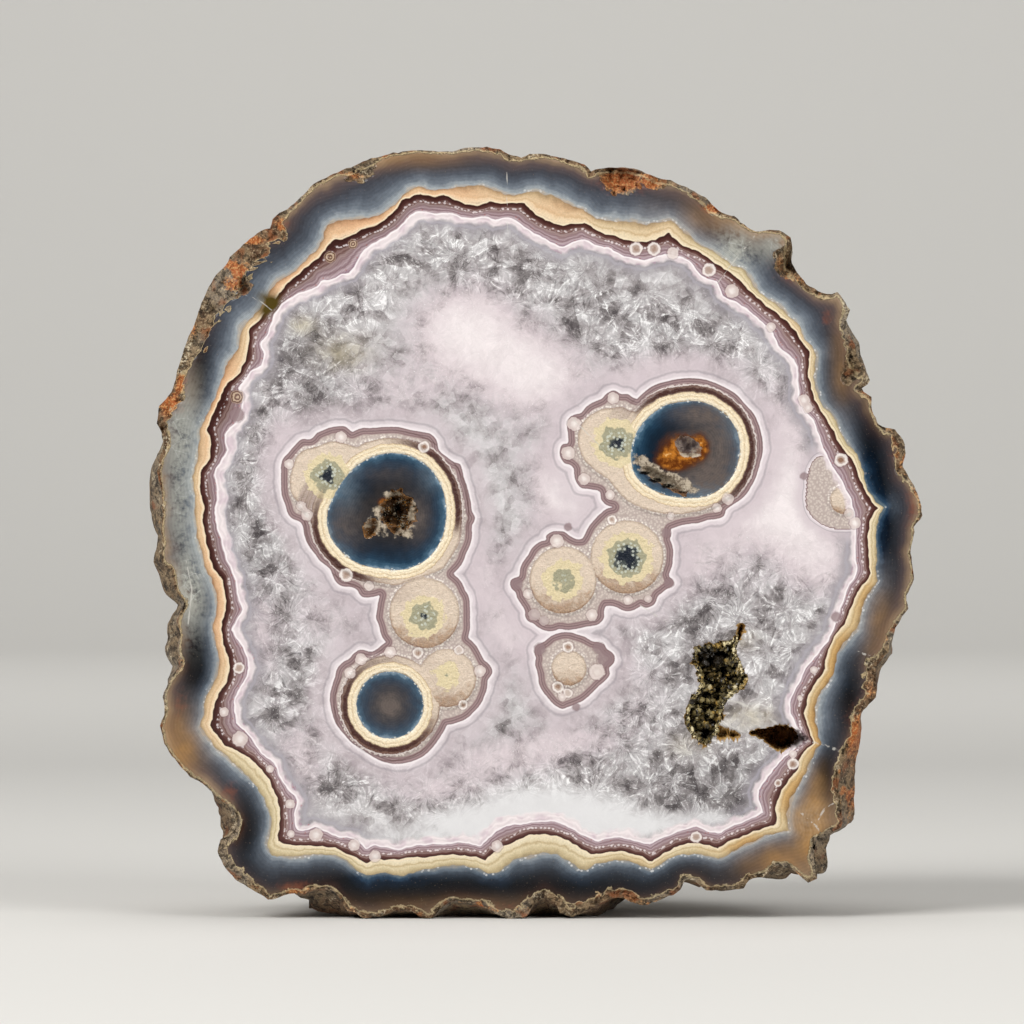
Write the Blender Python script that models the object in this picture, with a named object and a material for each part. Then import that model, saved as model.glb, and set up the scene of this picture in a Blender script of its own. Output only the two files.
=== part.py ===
"""Coyamito agate: half of a cut nodule that stands on a small flat spot, its polished face upright.

Metres, +Z up. The polished face looks along -Y, and the domed husk is behind it.
"""
import math
import random

import bmesh
import bpy
from mathutils import Matrix, Vector, noise

# Driving dimensions
FACE_WIDTH = 0.080  # across the husk, as wide as the stone shows in the photograph
NODULE_DEPTH = 0.034  # from the polished face to the back of the dome
FOOT_DEPTH = 0.023  # how far behind the face the flat spot reaches
VUG_DEPTH = 0.0072
SLOT_DEPTH = 0.0045
CRUST_GAP = 0.00035  # between the stone and the crust of crystals

# The photograph's pixels, x to the right and y down
STONE_LEFT_PX = 147
STONE_RIGHT_PX = 923
CENTRE_PX = (535, 530)
GROUND_PX = 919
PIXEL = FACE_WIDTH / (STONE_RIGHT_PX - STONE_LEFT_PX)
FACE_Y = -NODULE_DEPTH / 2

# The edge of the polished face, clockwise from the top, chipped and notched as the photograph shows
TOP_EDGE_PX = [
    (472, 147), (487, 147), (500, 149), (511, 155), (521, 157), (532, 153), (546, 154), (558, 157),
    (571, 160), (586, 165), (591, 172), (597, 168), (608, 166), (621, 165), (634, 167), (646, 172),
    (660, 178), (673, 181), (686, 187), (698, 193), (707, 197), (714, 205), (723, 213), (734, 216),
    (741, 223), (756, 232), (769, 229), (781, 230), (790, 237), (794, 250), (792, 262), (799, 275),
    (808, 284), (821, 291), (830, 295), (837, 291),
]
RIGHT_EDGE_PX = [
    (844, 299), (850, 311), (846, 321), (849, 334), (855, 345), (859, 358), (866, 370), (871, 382),
    (861, 389), (871, 397), (872, 410), (878, 424), (886, 429), (894, 428), (903, 439), (906, 453),
    (903, 467), (911, 481), (918, 493), (922, 507), (922, 517), (914, 527), (913, 541), (910, 553),
    (913, 564), (914, 579), (907, 595), (908, 608), (899, 622), (892, 637), (888, 653), (876, 667),
    (876, 682), (877, 696), (868, 706), (861, 712), (860, 725), (855, 740), (846, 754), (841, 768),
    (838, 787), (841, 803), (843, 826),
]
BOTTOM_EDGE_PX = [
    (826, 837), (816, 842), (814, 858), (818, 878), (808, 883), (798, 874), (786, 865), (774, 866),
    (764, 877), (750, 879), (744, 888), (729, 891), (707, 891), (696, 882), (684, 879), (680, 891),
    (664, 898), (645, 906), (631, 902), (619, 897), (604, 901), (588, 911), (570, 917), (560, 914),
    (556, 904), (545, 897), (534, 903), (527, 917), (508, 919), (493, 913), (483, 906), (467, 903),
    (451, 902), (441, 908), (433, 918), (421, 918), (412, 911), (395, 911), (379, 917), (364, 918),
    (347, 910), (341, 900), (331, 889), (314, 889), (303, 894), (288, 894), (270, 901), (252, 890),
    (234, 879), (224, 866), (217, 855),
]
LEFT_EDGE_PX = [
    (220, 840), (233, 834), (239, 821), (233, 809), (219, 799), (204, 785), (189, 776), (176, 762),
    (165, 746), (160, 727), (165, 710), (163, 694), (170, 678), (181, 665), (177, 650), (180, 636),
    (177, 618), (185, 604), (174, 588), (172, 571), (161, 561), (163, 547), (161, 530), (163, 510),
    (161, 489), (157, 472), (160, 455), (164, 442), (156, 422), (159, 406), (171, 393), (176, 375),
    (181, 357), (188, 338), (196, 318), (203, 299), (211, 281), (224, 266), (236, 250), (250, 239),
    (259, 231), (270, 228), (273, 217), (287, 209), (301, 197), (314, 183), (333, 174), (345, 168),
    (365, 160), (388, 154), (411, 150), (434, 151), (455, 151),
]
FACE_EDGE_PX = TOP_EDGE_PX + RIGHT_EDGE_PX + BOTTOM_EDGE_PX + LEFT_EDGE_PX

# Where the husk behind the face swells past the face's edge: place, width and reach in pixels
HUSK_SWELLS_PX = [
    ((160, 500), 42, 15), ((166, 575), 42, 17), ((178, 640), 40, 15), ((233, 820), 22, 20),
    ((842, 790), 52, 22), ((816, 862), 30, 30), ((778, 868), 28, 20), ((322, 890), 22, 16),
    ((545, 898), 22, 18), ((700, 884), 26, 8), ((884, 662), 26, 7), ((850, 345), 30, 6),
]
FOOT_LEFT_PX = 352
FOOT_RIGHT_PX = 594
FOOT_REACH = 0.0045  # how far the husk would go below the ground if it weren't flat there

# The dome behind the face
RINGS = 18
RING_GRADING = 0.08  # draws the rings together near the face and near the back
DOME_ROUNDNESS = 2.35  # a superellipse exponent, 2 for a ball
FOOT_SQUARENESS = 1.5  # added to the exponent straight below the centre
EVENED_COLUMNS = 7  # the chips of the face's edge are evened out this far to each side
EVENED_DEPTH = 0.0045  # and are gone this far behind the face
LUMP_SIZE = 0.015
LUMP_HEIGHT = 0.0022
KNOB_SIZE = 0.0075
KNOB_HEIGHT = 0.0021

# Hollows in the face: centre and radii in pixels, turn in degrees, depth in metres
HOLLOWS_PX = [
    ((622, 170), (24, 23), 0, 0.0030),
    ((655, 180), (11, 10), 12, 0.0016),
    ((712, 203), (14, 11), 35, 0.0016),
    ((790, 262), (14, 16), 0, 0.0030),
    ((816, 287), (17, 9), 30, 0.0016),
    ((857, 358), (9, 27), 20, 0.0018),
    ((357, 166), (15, 16), -12, 0.0016),
    ((243, 286), (7, 9), 0, 0.0018),
    ((398, 512), (20, 22), 0, 0.0022),
    ((371, 528), (7, 11), 20, 0.0012),
    ((684, 453), (27, 20), -20, 0.0010),
    ((661, 475), (25, 6), 42, 0.0016),
    ((689, 447), (8, 4), 25, 0.0020),
    ((828, 852), (15, 17), -20, 0.0035),
    ((158, 438), (8, 18), 4, 0.0022),
    ((726, 731), (9, 4), 18, 0.0020),
]

# The rough cavity and the narrow slot beside it
VUG_EDGE_PX = [
    (739, 633), (729, 641), (711, 644), (695, 647), (693, 661), (700, 684), (690, 700), (685, 724),
    (699, 742), (711, 743), (720, 724), (726, 702), (747, 684), (745, 671), (736, 651),
]
VUG_MIDDLE_PX = (714, 684)
VUG_LEVELS = [(-0.1, 1.0), (0.0, 1.0), (0.3, 0.97), (0.65, 0.86), (1.0, 0.58)]
CRUST_OUTSIDE = [(0.12, 0.98), (0.3, 0.96), (0.65, 0.85), (0.94, 0.62)]
CRUST_INSIDE = [(0.72, 0.44), (0.58, 0.62), (0.36, 0.76), (0.18, 0.86)]
SLOT_EDGE_PX = [
    (750, 734), (760, 738), (770, 746), (782, 751), (800, 746), (808, 739), (794, 728), (779, 725),
    (764, 728), (752, 731),
]
SLOT_MIDDLE_PX = (782, 738)
SLOT_LEVELS = [(-0.15, 1.0), (0.0, 1.0), (0.45, 0.88), (1.0, 0.6)]
CRYSTALS = 40
CRYSTAL_SEED = 7

STONE_COLOUR = (0.42, 0.36, 0.38, 1.0)
CRYSTAL_COLOUR = (0.16, 0.12, 0.07, 1.0)


def clear_scene():
    """Remove whatever the file opened with."""
    for obj in list(bpy.data.objects):
        bpy.data.objects.remove(obj, do_unlink=True)


def on_face(place, depth=0.0):
    """A pixel of the photograph as a point in metres, at a depth behind the polished face."""
    x = (place[0] - CENTRE_PX[0]) * PIXEL
    z = (GROUND_PX - place[1]) * PIXEL
    return Vector((x, FACE_Y + depth, z))


def smooth_step(low, high, value):
    """Rise from 0 to 1 between two limits, without a corner."""
    t = min(max((value - low) / (high - low), 0.0), 1.0)
    return t * t * (3 - 2 * t)


def material(name, colour, roughness):
    """A Principled material of one colour."""
    made = bpy.data.materials.new(name)
    made.use_nodes = True
    shader = made.node_tree.nodes["Principled BSDF"]
    shader.inputs["Base Color"].default_value = colour
    shader.inputs["Roughness"].default_value = roughness
    shader.inputs["Metallic"].default_value = 0.0
    return made


def add_object(name, bm, surface=None):
    """Put a bmesh into the scene as one named object."""
    bmesh.ops.recalc_face_normals(bm, faces=bm.faces)
    mesh = bpy.data.meshes.new(name)
    bm.to_mesh(mesh)
    bm.free()
    obj = bpy.data.objects.new(name, mesh)
    bpy.context.collection.objects.link(obj)
    if surface:
        mesh.materials.append(surface)
    return obj


def start_loop(bm, points):
    """A closed loop of edges through the points."""
    loop = [bm.verts.new(point) for point in points]
    for here, there in zip(loop, loop[1:] + loop[:1]):
        bm.edges.new((here, there))
    return loop


def cap_loop(bm, loop):
    """Close a loop of vertices with one flat face."""
    edges = [bm.edges.get((here, there)) for here, there in zip(loop, loop[1:] + loop[:1])]
    bmesh.ops.edgeloop_fill(bm, edges=edges)


def extrude_loop(bm, loop, points):
    """Extrude a loop of vertices and lay the new one on the points, in the same order."""
    edges = [bm.edges.get((here, there)) for here, there in zip(loop, loop[1:] + loop[:1])]
    grown = bmesh.ops.extrude_edge_only(bm, edges=edges)["geom"]
    fresh = {item for item in grown if isinstance(item, bmesh.types.BMVert)}
    upper = []
    for vert, point in zip(loop, points):
        twin = next(e.other_vert(vert) for e in vert.link_edges if e.other_vert(vert) in fresh)
        twin.co = point
        upper.append(twin)
    return upper


def foot_window(edge_point):
    """1 along the part of the lower edge that the stone stands on, 0 elsewhere."""
    left = (FOOT_LEFT_PX - CENTRE_PX[0]) * PIXEL
    right = (FOOT_RIGHT_PX - CENTRE_PX[0]) * PIXEL
    soft = 0.0035
    inside = smooth_step(left - soft, left + soft, edge_point.x)
    inside *= 1 - smooth_step(right - soft, right + soft, edge_point.x)
    return inside * (1 - smooth_step(0.004, 0.006, edge_point.z))


def swell_at(edge_point):
    """How far the husk behind this point of the edge swells past it."""
    reach = 0.0
    for place, width, height in HUSK_SWELLS_PX:
        away = (edge_point - on_face(place)).length / (width * PIXEL)
        reach = max(reach, height * PIXEL * math.exp(-away * away))
    return reach


def lumps(point, depth):
    """Height of the husk's lumps and rounded knobs at a point, none at the polished face."""
    broad = noise.noise(point / LUMP_SIZE) * LUMP_HEIGHT
    nearest = noise.voronoi(point / KNOB_SIZE)[0][0]
    knob = (0.42 - nearest) * KNOB_HEIGHT
    return (broad + knob) * smooth_step(0.0005, 0.006, depth)


def evened(points):
    """The same loop of points without its small chips and notches."""
    count = len(points)
    even = []
    for index in range(count):
        total = Vector((0, 0, 0))
        weights = 0
        for step in range(-EVENED_COLUMNS, EVENED_COLUMNS + 1):
            weight = EVENED_COLUMNS + 1 - abs(step)
            total += points[(index + step) % count] * weight
            weights += weight
        even.append(total / weights)
    return even


def husk_point(edge_point, even_point, ring):
    """The point of a ring of the dome that lies behind a point of the face's edge."""
    share = ring / RINGS
    turn = math.pi / 2 * (share - RING_GRADING * math.sin(math.tau * share))
    middle = on_face(CENTRE_PX)
    outward = (edge_point - middle).normalized()
    below = max(0.0, -outward.z)
    roundness = DOME_ROUNDNESS + FOOT_SQUARENESS * below ** 3
    drawn_in = math.cos(turn) ** (2 / roundness)
    depth = NODULE_DEPTH * math.sin(turn) ** (2 / roundness)
    base = edge_point.lerp(even_point, smooth_step(0.0, EVENED_DEPTH, depth))
    point = middle + (base - middle) * drawn_in + Vector((0, depth, 0))
    behind_edge = smooth_step(0.0, 0.0025, depth) * (1 - smooth_step(0.004, 0.020, depth))
    swell = swell_at(edge_point) * behind_edge
    point += outward * swell
    foot = smooth_step(0.0, 0.0016, depth) * (1 - smooth_step(FOOT_DEPTH, FOOT_DEPTH + 0.008, depth))
    point.z -= FOOT_REACH * foot_window(edge_point) * foot
    bulge_direction = (point - middle).normalized()
    point += bulge_direction * lumps(point, depth)
    reach = outward.dot(point - middle)
    past_edge = reach - (outward.dot(edge_point - middle) + swell)
    if past_edge > 0 and not foot_window(edge_point):
        point -= outward * past_edge
    point.z = max(point.z, 0.0)
    point.y = min(point.y, FACE_Y + NODULE_DEPTH)
    return point


def stone_body():
    """The half nodule before anything is hollowed out: flat face, lumpy dome and flat foot."""
    bm = bmesh.new()
    edge = [on_face(place) for place in FACE_EDGE_PX]
    loop = start_loop(bm, edge)
    cap_loop(bm, loop)
    pairs = list(zip(edge, evened(edge)))
    for ring in range(1, RINGS):
        loop = extrude_loop(bm, loop, [husk_point(here, even, ring) for here, even in pairs])
    middle = on_face(CENTRE_PX)
    apex = Vector((middle.x, FACE_Y + NODULE_DEPTH, middle.z))
    loop = extrude_loop(bm, loop, [vert.co.copy() for vert in loop])
    bmesh.ops.pointmerge(bm, verts=loop, merge_co=apex)
    bmesh.ops.remove_doubles(bm, verts=bm.verts, dist=0.00002)
    return bm


def hollow_cutter(index, centre, radii, turn, depth):
    """An uneven ball that cuts one hollow into the face."""
    bm = bmesh.new()
    bmesh.ops.create_icosphere(bm, subdivisions=2, radius=1.0)
    for vert in bm.verts:
        vert.co *= 1 + 0.14 * noise.noise(vert.co * 1.7 + Vector((index * 3.1, 0, 0)))
    size = Vector((radii[0] * PIXEL, depth, radii[1] * PIXEL))
    bmesh.ops.scale(bm, vec=size, verts=bm.verts)
    spin = Matrix.Rotation(math.radians(turn), 3, "Y")
    bmesh.ops.rotate(bm, cent=(0, 0, 0), matrix=spin, verts=bm.verts)
    bmesh.ops.translate(bm, vec=on_face(centre), verts=bm.verts)
    return add_object(f"cut_hollow_{index}", bm)


def shrunk_outline(places, middle, share, inset=0.0):
    """An outline drawn in towards its middle by a share, then by a fixed inset, in metres."""
    centre = on_face(middle)
    points = [centre + (on_face(place) - centre) * share for place in places]
    moved = []
    for before, here, after in zip(points[-1:] + points[:-1], points, points[1:] + points[:1]):
        along = (after - before).normalized()
        moved.append(here + Vector((-along.z, 0, along.x)) * inset)
    return moved


def cavity_cutter(name, places, middle, levels, depth):
    """A tapering hole behind an outline."""
    bm = bmesh.new()
    loop = None
    for level, share in levels:
        points = [point + Vector((0, level * depth, 0)) for point in shrunk_outline(places, middle, share)]
        if loop:
            loop = extrude_loop(bm, loop, points)
        else:
            loop = start_loop(bm, points)
            cap_loop(bm, loop)
    cap_loop(bm, loop)
    return add_object(name, bm)


def crystal(bm, base, direction, radius, length):
    """A six-sided crystal with a pointed end that grows out of the base point."""
    turned = direction.to_track_quat("Z", "Y").to_matrix()
    buried = base - direction * radius * 0.8
    foot = []
    for corner in range(6):
        angle = math.tau * corner / 6
        foot.append(buried + turned @ Vector((radius * math.cos(angle), radius * math.sin(angle), 0)))
    loop = start_loop(bm, foot)
    cap_loop(bm, loop)
    shoulder = [point + direction * length * 0.65 for point in foot]
    loop = extrude_loop(bm, loop, shoulder)
    loop = extrude_loop(bm, loop, shoulder)
    bmesh.ops.pointmerge(bm, verts=loop, merge_co=base + direction * (length - radius * 0.8))


def crust_shell():
    """The crust before its crystals: a cup that follows the cavity's walls."""
    bm = bmesh.new()
    loop = None
    for level, share in CRUST_INSIDE + CRUST_OUTSIDE:
        points = shrunk_outline(VUG_EDGE_PX, VUG_MIDDLE_PX, share, CRUST_GAP)
        for point in points:
            point.y += level * VUG_DEPTH
        if loop:
            loop = extrude_loop(bm, loop, points)
        else:
            loop = start_loop(bm, points)
            cap_loop(bm, loop)
    cap_loop(bm, loop)
    return add_object("vug_crystals", bm, material("druse", CRYSTAL_COLOUR, 0.35))


def crust_crystals():
    """Small crystals that point from the cavity's walls towards its open middle."""
    bm = bmesh.new()
    dice = random.Random(CRYSTAL_SEED)
    aim = on_face(VUG_MIDDLE_PX, VUG_DEPTH * 0.25)
    for number in range(CRYSTALS):
        (level, share), (next_level, next_share) = dice.choice(list(zip(CRUST_INSIDE, CRUST_INSIDE[1:])))
        part = dice.random()
        share += (next_share - share) * part
        wall = shrunk_outline(VUG_EDGE_PX, VUG_MIDDLE_PX, share, CRUST_GAP)
        place = number / CRYSTALS * len(wall)
        base = wall[int(place)].lerp(wall[(int(place) + 1) % len(wall)], place % 1.0)
        base.y += (level + (next_level - level) * part) * VUG_DEPTH
        lean = Vector((dice.uniform(-0.3, 0.3), dice.uniform(-0.8, 0.1), dice.uniform(-0.3, 0.3)))
        direction = ((aim - base).normalized() + lean).normalized()
        crystal(bm, base, direction, dice.uniform(0.00026, 0.00040), dice.uniform(0.0007, 0.0011))
    return add_object("cut_crystals", bm)


def apply_boolean(target, tool, operation):
    """Leave a live Boolean on the target, and hide its tool from the build."""
    tool.hide_render = True
    tool.display_type = "WIRE"
    cut = target.modifiers.new(tool.name, "BOOLEAN")
    cut.operation = operation
    cut.solver = "EXACT"
    cut.object = tool


def build_agate():
    """The stone: its body, less the cavity, the slot and the hollows in the face."""
    stone = add_object("agate", stone_body(), material("agate", STONE_COLOUR, 0.3))
    vug = cavity_cutter("cut_vug", VUG_EDGE_PX, VUG_MIDDLE_PX, VUG_LEVELS, VUG_DEPTH)
    apply_boolean(stone, vug, "DIFFERENCE")
    slot = cavity_cutter("cut_slot", SLOT_EDGE_PX, SLOT_MIDDLE_PX, SLOT_LEVELS, SLOT_DEPTH)
    apply_boolean(stone, slot, "DIFFERENCE")
    for index, (centre, radii, turn, depth) in enumerate(HOLLOWS_PX):
        apply_boolean(stone, hollow_cutter(index, centre, radii, turn, depth), "DIFFERENCE")
    stone.data.shade_smooth()
    stone.data.set_sharp_from_angle(angle=math.radians(40))


def build_crust():
    """The cavity's crystals, joined into one crust."""
    crust = crust_shell()
    crystals = crust_crystals()
    apply_boolean(crust, crystals, "UNION")
    crust.modifiers["cut_crystals"].use_self = True


clear_scene()
build_agate()
build_crust()
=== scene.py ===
"""Coyamito agate: the finished look of the cut half nodule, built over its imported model."""
import math

import bmesh
import bpy
import numpy as np
from bpy.props import FloatProperty, FloatVectorProperty, IntProperty, PointerProperty
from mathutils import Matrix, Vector, noise


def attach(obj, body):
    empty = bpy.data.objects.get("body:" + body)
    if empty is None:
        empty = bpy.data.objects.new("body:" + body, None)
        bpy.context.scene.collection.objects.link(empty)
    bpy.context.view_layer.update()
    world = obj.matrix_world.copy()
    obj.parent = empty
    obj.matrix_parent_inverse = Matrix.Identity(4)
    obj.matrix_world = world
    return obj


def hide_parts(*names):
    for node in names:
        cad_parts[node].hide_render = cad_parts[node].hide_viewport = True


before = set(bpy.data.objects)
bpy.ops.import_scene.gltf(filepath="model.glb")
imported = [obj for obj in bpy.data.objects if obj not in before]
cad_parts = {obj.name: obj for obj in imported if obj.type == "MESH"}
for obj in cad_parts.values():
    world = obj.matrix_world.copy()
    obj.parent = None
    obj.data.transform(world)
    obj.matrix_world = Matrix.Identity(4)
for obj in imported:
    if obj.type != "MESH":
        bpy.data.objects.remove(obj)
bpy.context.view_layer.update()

bl_info = {
    "name": "Coyamito Agate",
    "version": (1, 0, 0),
    "blender": (4, 5, 0),
    "location": "View3D > Sidebar > Agate",
    "description": "Builds a cut and polished half of a coyamito agate nodule",
    "category": "Object",
}

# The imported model's own dimensions, in metres
FACE_WIDTH = 0.080
NODULE_DEPTH = 0.034
FOOT_DEPTH = 0.023
VUG_DEPTH = 0.0072
SLOT_DEPTH = 0.0045
FACE_Y = -NODULE_DEPTH / 2

# The photograph's pixels, x to the right and y down
STONE_LEFT_PX = 147
STONE_RIGHT_PX = 923
CENTRE_PX = (535, 530)
GROUND_PX = 919
FRAME_PX = 1024
PIXEL = FACE_WIDTH / (STONE_RIGHT_PX - STONE_LEFT_PX)

# The edge of the polished face, clockwise from the top
FACE_EDGE_PX = [
    (472, 147), (487, 147), (500, 149), (511, 155), (521, 157), (532, 153), (546, 154), (558, 157),
    (571, 160), (586, 165), (591, 172), (597, 168), (608, 166), (621, 165), (634, 167), (646, 172),
    (660, 178), (673, 181), (686, 187), (698, 193), (707, 197), (714, 205), (723, 213), (734, 216),
    (741, 223), (756, 232), (769, 229), (781, 230), (790, 237), (794, 250), (792, 262), (799, 275),
    (808, 284), (821, 291), (830, 295), (837, 291), (844, 299), (850, 311), (846, 321), (849, 334),
    (855, 345), (859, 358), (866, 370), (871, 382), (861, 389), (871, 397), (872, 410), (878, 424),
    (886, 429), (894, 428), (903, 439), (906, 453), (903, 467), (911, 481), (918, 493), (922, 507),
    (922, 517), (914, 527), (913, 541), (910, 553), (913, 564), (914, 579), (907, 595), (908, 608),
    (899, 622), (892, 637), (888, 653), (876, 667), (876, 682), (877, 696), (868, 706), (861, 712),
    (860, 725), (855, 740), (846, 754), (841, 768), (838, 787), (841, 803), (843, 826), (826, 837),
    (816, 842), (814, 858), (818, 878), (808, 883), (798, 874), (786, 865), (774, 866), (764, 877),
    (750, 879), (744, 888), (729, 891), (707, 891), (696, 882), (684, 879), (680, 891), (664, 898),
    (645, 906), (631, 902), (619, 897), (604, 901), (588, 911), (570, 917), (560, 914), (556, 904),
    (545, 897), (534, 903), (527, 917), (508, 919), (493, 913), (483, 906), (467, 903), (451, 902),
    (441, 908), (433, 918), (421, 918), (412, 911), (395, 911), (379, 917), (364, 918), (347, 910),
    (341, 900), (331, 889), (314, 889), (303, 894), (288, 894), (270, 901), (252, 890), (234, 879),
    (224, 866), (217, 855), (220, 840), (233, 834), (239, 821), (233, 809), (219, 799), (204, 785),
    (189, 776), (176, 762), (165, 746), (160, 727), (165, 710), (163, 694), (170, 678), (181, 665),
    (177, 650), (180, 636), (177, 618), (185, 604), (174, 588), (172, 571), (161, 561), (163, 547),
    (161, 530), (163, 510), (161, 489), (157, 472), (160, 455), (164, 442), (156, 422), (159, 406),
    (171, 393), (176, 375), (181, 357), (188, 338), (196, 318), (203, 299), (211, 281), (224, 266),
    (236, 250), (250, 239), (259, 231), (270, 228), (273, 217), (287, 209), (301, 197), (314, 183),
    (333, 174), (345, 168), (365, 160), (388, 154), (411, 150), (434, 151), (455, 151),
]

# Where the rough husk shows from the front: a place on the edge, and how far the husk reaches in
HUSK_REACH_PX = [
    ((472, 147), 4), ((510, 157), 6), ((558, 157), 4), ((590, 170), 6), ((622, 166), 6),
    ((660, 178), 5), ((700, 193), 7), ((714, 205), 8), ((741, 223), 3), ((756, 232), 2),
    ((781, 230), 5), ((794, 250), 8), ((799, 275), 8), ((821, 291), 6), ((844, 299), 4),
    ((849, 334), 9), ((859, 358), 11), ((871, 382), 9), ((871, 397), 3), ((878, 424), 3),
    ((894, 428), 8), ((906, 453), 13), ((903, 467), 8), ((918, 493), 4), ((922, 517), 4),
    ((913, 541), 2), ((913, 564), 3), ((908, 608), 3), ((888, 653), 8), ((876, 682), 13),
    ((868, 706), 10), ((860, 725), 9), ((855, 740), 8), ((841, 768), 7), ((838, 787), 7),
    ((843, 826), 6), ((826, 837), 6), ((814, 858), 6), ((808, 883), 5), ((786, 865), 4),
    ((764, 877), 5), ((744, 888), 8), ((707, 891), 6), ((684, 879), 5), ((664, 898), 6),
    ((631, 902), 10), ((604, 901), 10), ((570, 917), 11), ((545, 897), 8), ((527, 917), 11),
    ((493, 913), 7), ((467, 903), 5), ((441, 908), 6), ((412, 911), 6), ((379, 917), 6),
    ((347, 910), 6), ((331, 889), 4), ((303, 894), 5), ((270, 901), 6), ((234, 879), 12),
    ((217, 855), 10), ((233, 834), 6), ((239, 821), 4), ((219, 799), 3), ((189, 776), 4),
    ((165, 746), 3), ((163, 694), 4), ((181, 665), 4), ((180, 636), 3), ((185, 604), 4),
    ((172, 571), 4), ((161, 547), 3), ((161, 510), 3), ((157, 472), 4), ((164, 442), 7),
    ((159, 406), 15), ((171, 393), 14), ((176, 375), 9), ((181, 357), 13), ((188, 338), 18),
    ((196, 318), 19), ((203, 299), 26), ((211, 281), 30), ((224, 266), 26), ((236, 250), 27),
    ((250, 239), 24), ((259, 231), 21), ((273, 217), 13), ((287, 209), 6), ((301, 197), 4),
    ((333, 174), 4), ((345, 168), 8), ((365, 160), 7), ((388, 154), 3), ((434, 151), 3),
]

# Contours of the banded rim. A third number marks a sharp point of the scallops
CREAM_OUTSIDE_PX = [
    (400, 200), (410, 189), (420, 187), (432, 190), (450, 188), (465, 187), (478, 185), (490, 188),
    (500, 193), (512, 196), (525, 193), (533, 191), (545, 195), (555, 196), (565, 203), (575, 207),
    (585, 209, 1), (590, 215), (600, 220), (615, 221), (630, 222), (645, 225), (655, 223),
    (670, 219, 1), (680, 228), (690, 237), (700, 245), (712, 251), (722, 257), (732, 265),
    (741, 268), (748, 275), (752, 284), (760, 293), (770, 300), (780, 308), (790, 317), (797, 322),
    (803, 335), (810, 345), (815, 352), (815, 362), (814, 372), (815, 385), (819, 395), (824, 407),
    (835, 418), (838, 427), (848, 445), (857, 455), (863, 472), (866, 485), (871, 495), (877, 503),
    (884, 508, 1), (880, 514), (877, 522), (876, 535), (877, 560), (876, 570), (877, 583, 1),
    (870, 590), (865, 600), (861, 612), (858, 629, 1), (850, 636), (842, 645), (837, 655),
    (835, 665), (834, 675, 1), (829, 682), (822, 690), (818, 700), (815, 710), (815, 720),
    (818, 732), (821, 743, 1), (812, 757), (807, 770), (799, 785), (792, 796), (788, 808),
    (787, 820), (790, 831, 1), (775, 833), (765, 836), (750, 843), (735, 850), (726, 856),
    (718, 860, 1), (708, 856), (695, 854), (680, 855), (668, 860), (660, 865), (651, 870, 1),
    (643, 866), (632, 862), (620, 860), (610, 861), (598, 864), (585, 870, 1), (577, 867),
    (570, 862), (560, 856), (550, 853), (535, 854), (518, 858), (507, 865), (497, 873, 1),
    (488, 873), (475, 868), (460, 865), (445, 866), (430, 870), (417, 871), (401, 876, 1),
    (380, 873), (366, 877, 1), (355, 868), (345, 860), (330, 855), (315, 854), (300, 856),
    (285, 856), (271, 855), (266, 845, 1), (270, 835), (271, 825), (269, 810), (263, 797),
    (255, 785), (245, 773), (233, 762), (222, 752), (213, 745), (207, 737), (200, 727, 1),
    (204, 712), (205, 700), (210, 688), (216, 677), (219, 665), (218, 655), (215, 645), (213, 630),
    (214, 620), (217, 610), (217, 600), (215, 590), (211, 577), (206, 570), (203, 560), (200, 545),
    (197, 535), (195, 520), (195, 500), (193, 480), (195, 468), (198, 455), (200, 430), (205, 418),
    (212, 405), (217, 392), (220, 382), (225, 372), (228, 362), (234, 355), (239, 345), (241, 332),
    (243, 326), (250, 320), (260, 309), (277, 281), (290, 275), (300, 265), (310, 256), (318, 248),
    (324, 238), (325, 230), (332, 223), (345, 220), (360, 219), (375, 217), (388, 209),
]
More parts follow.
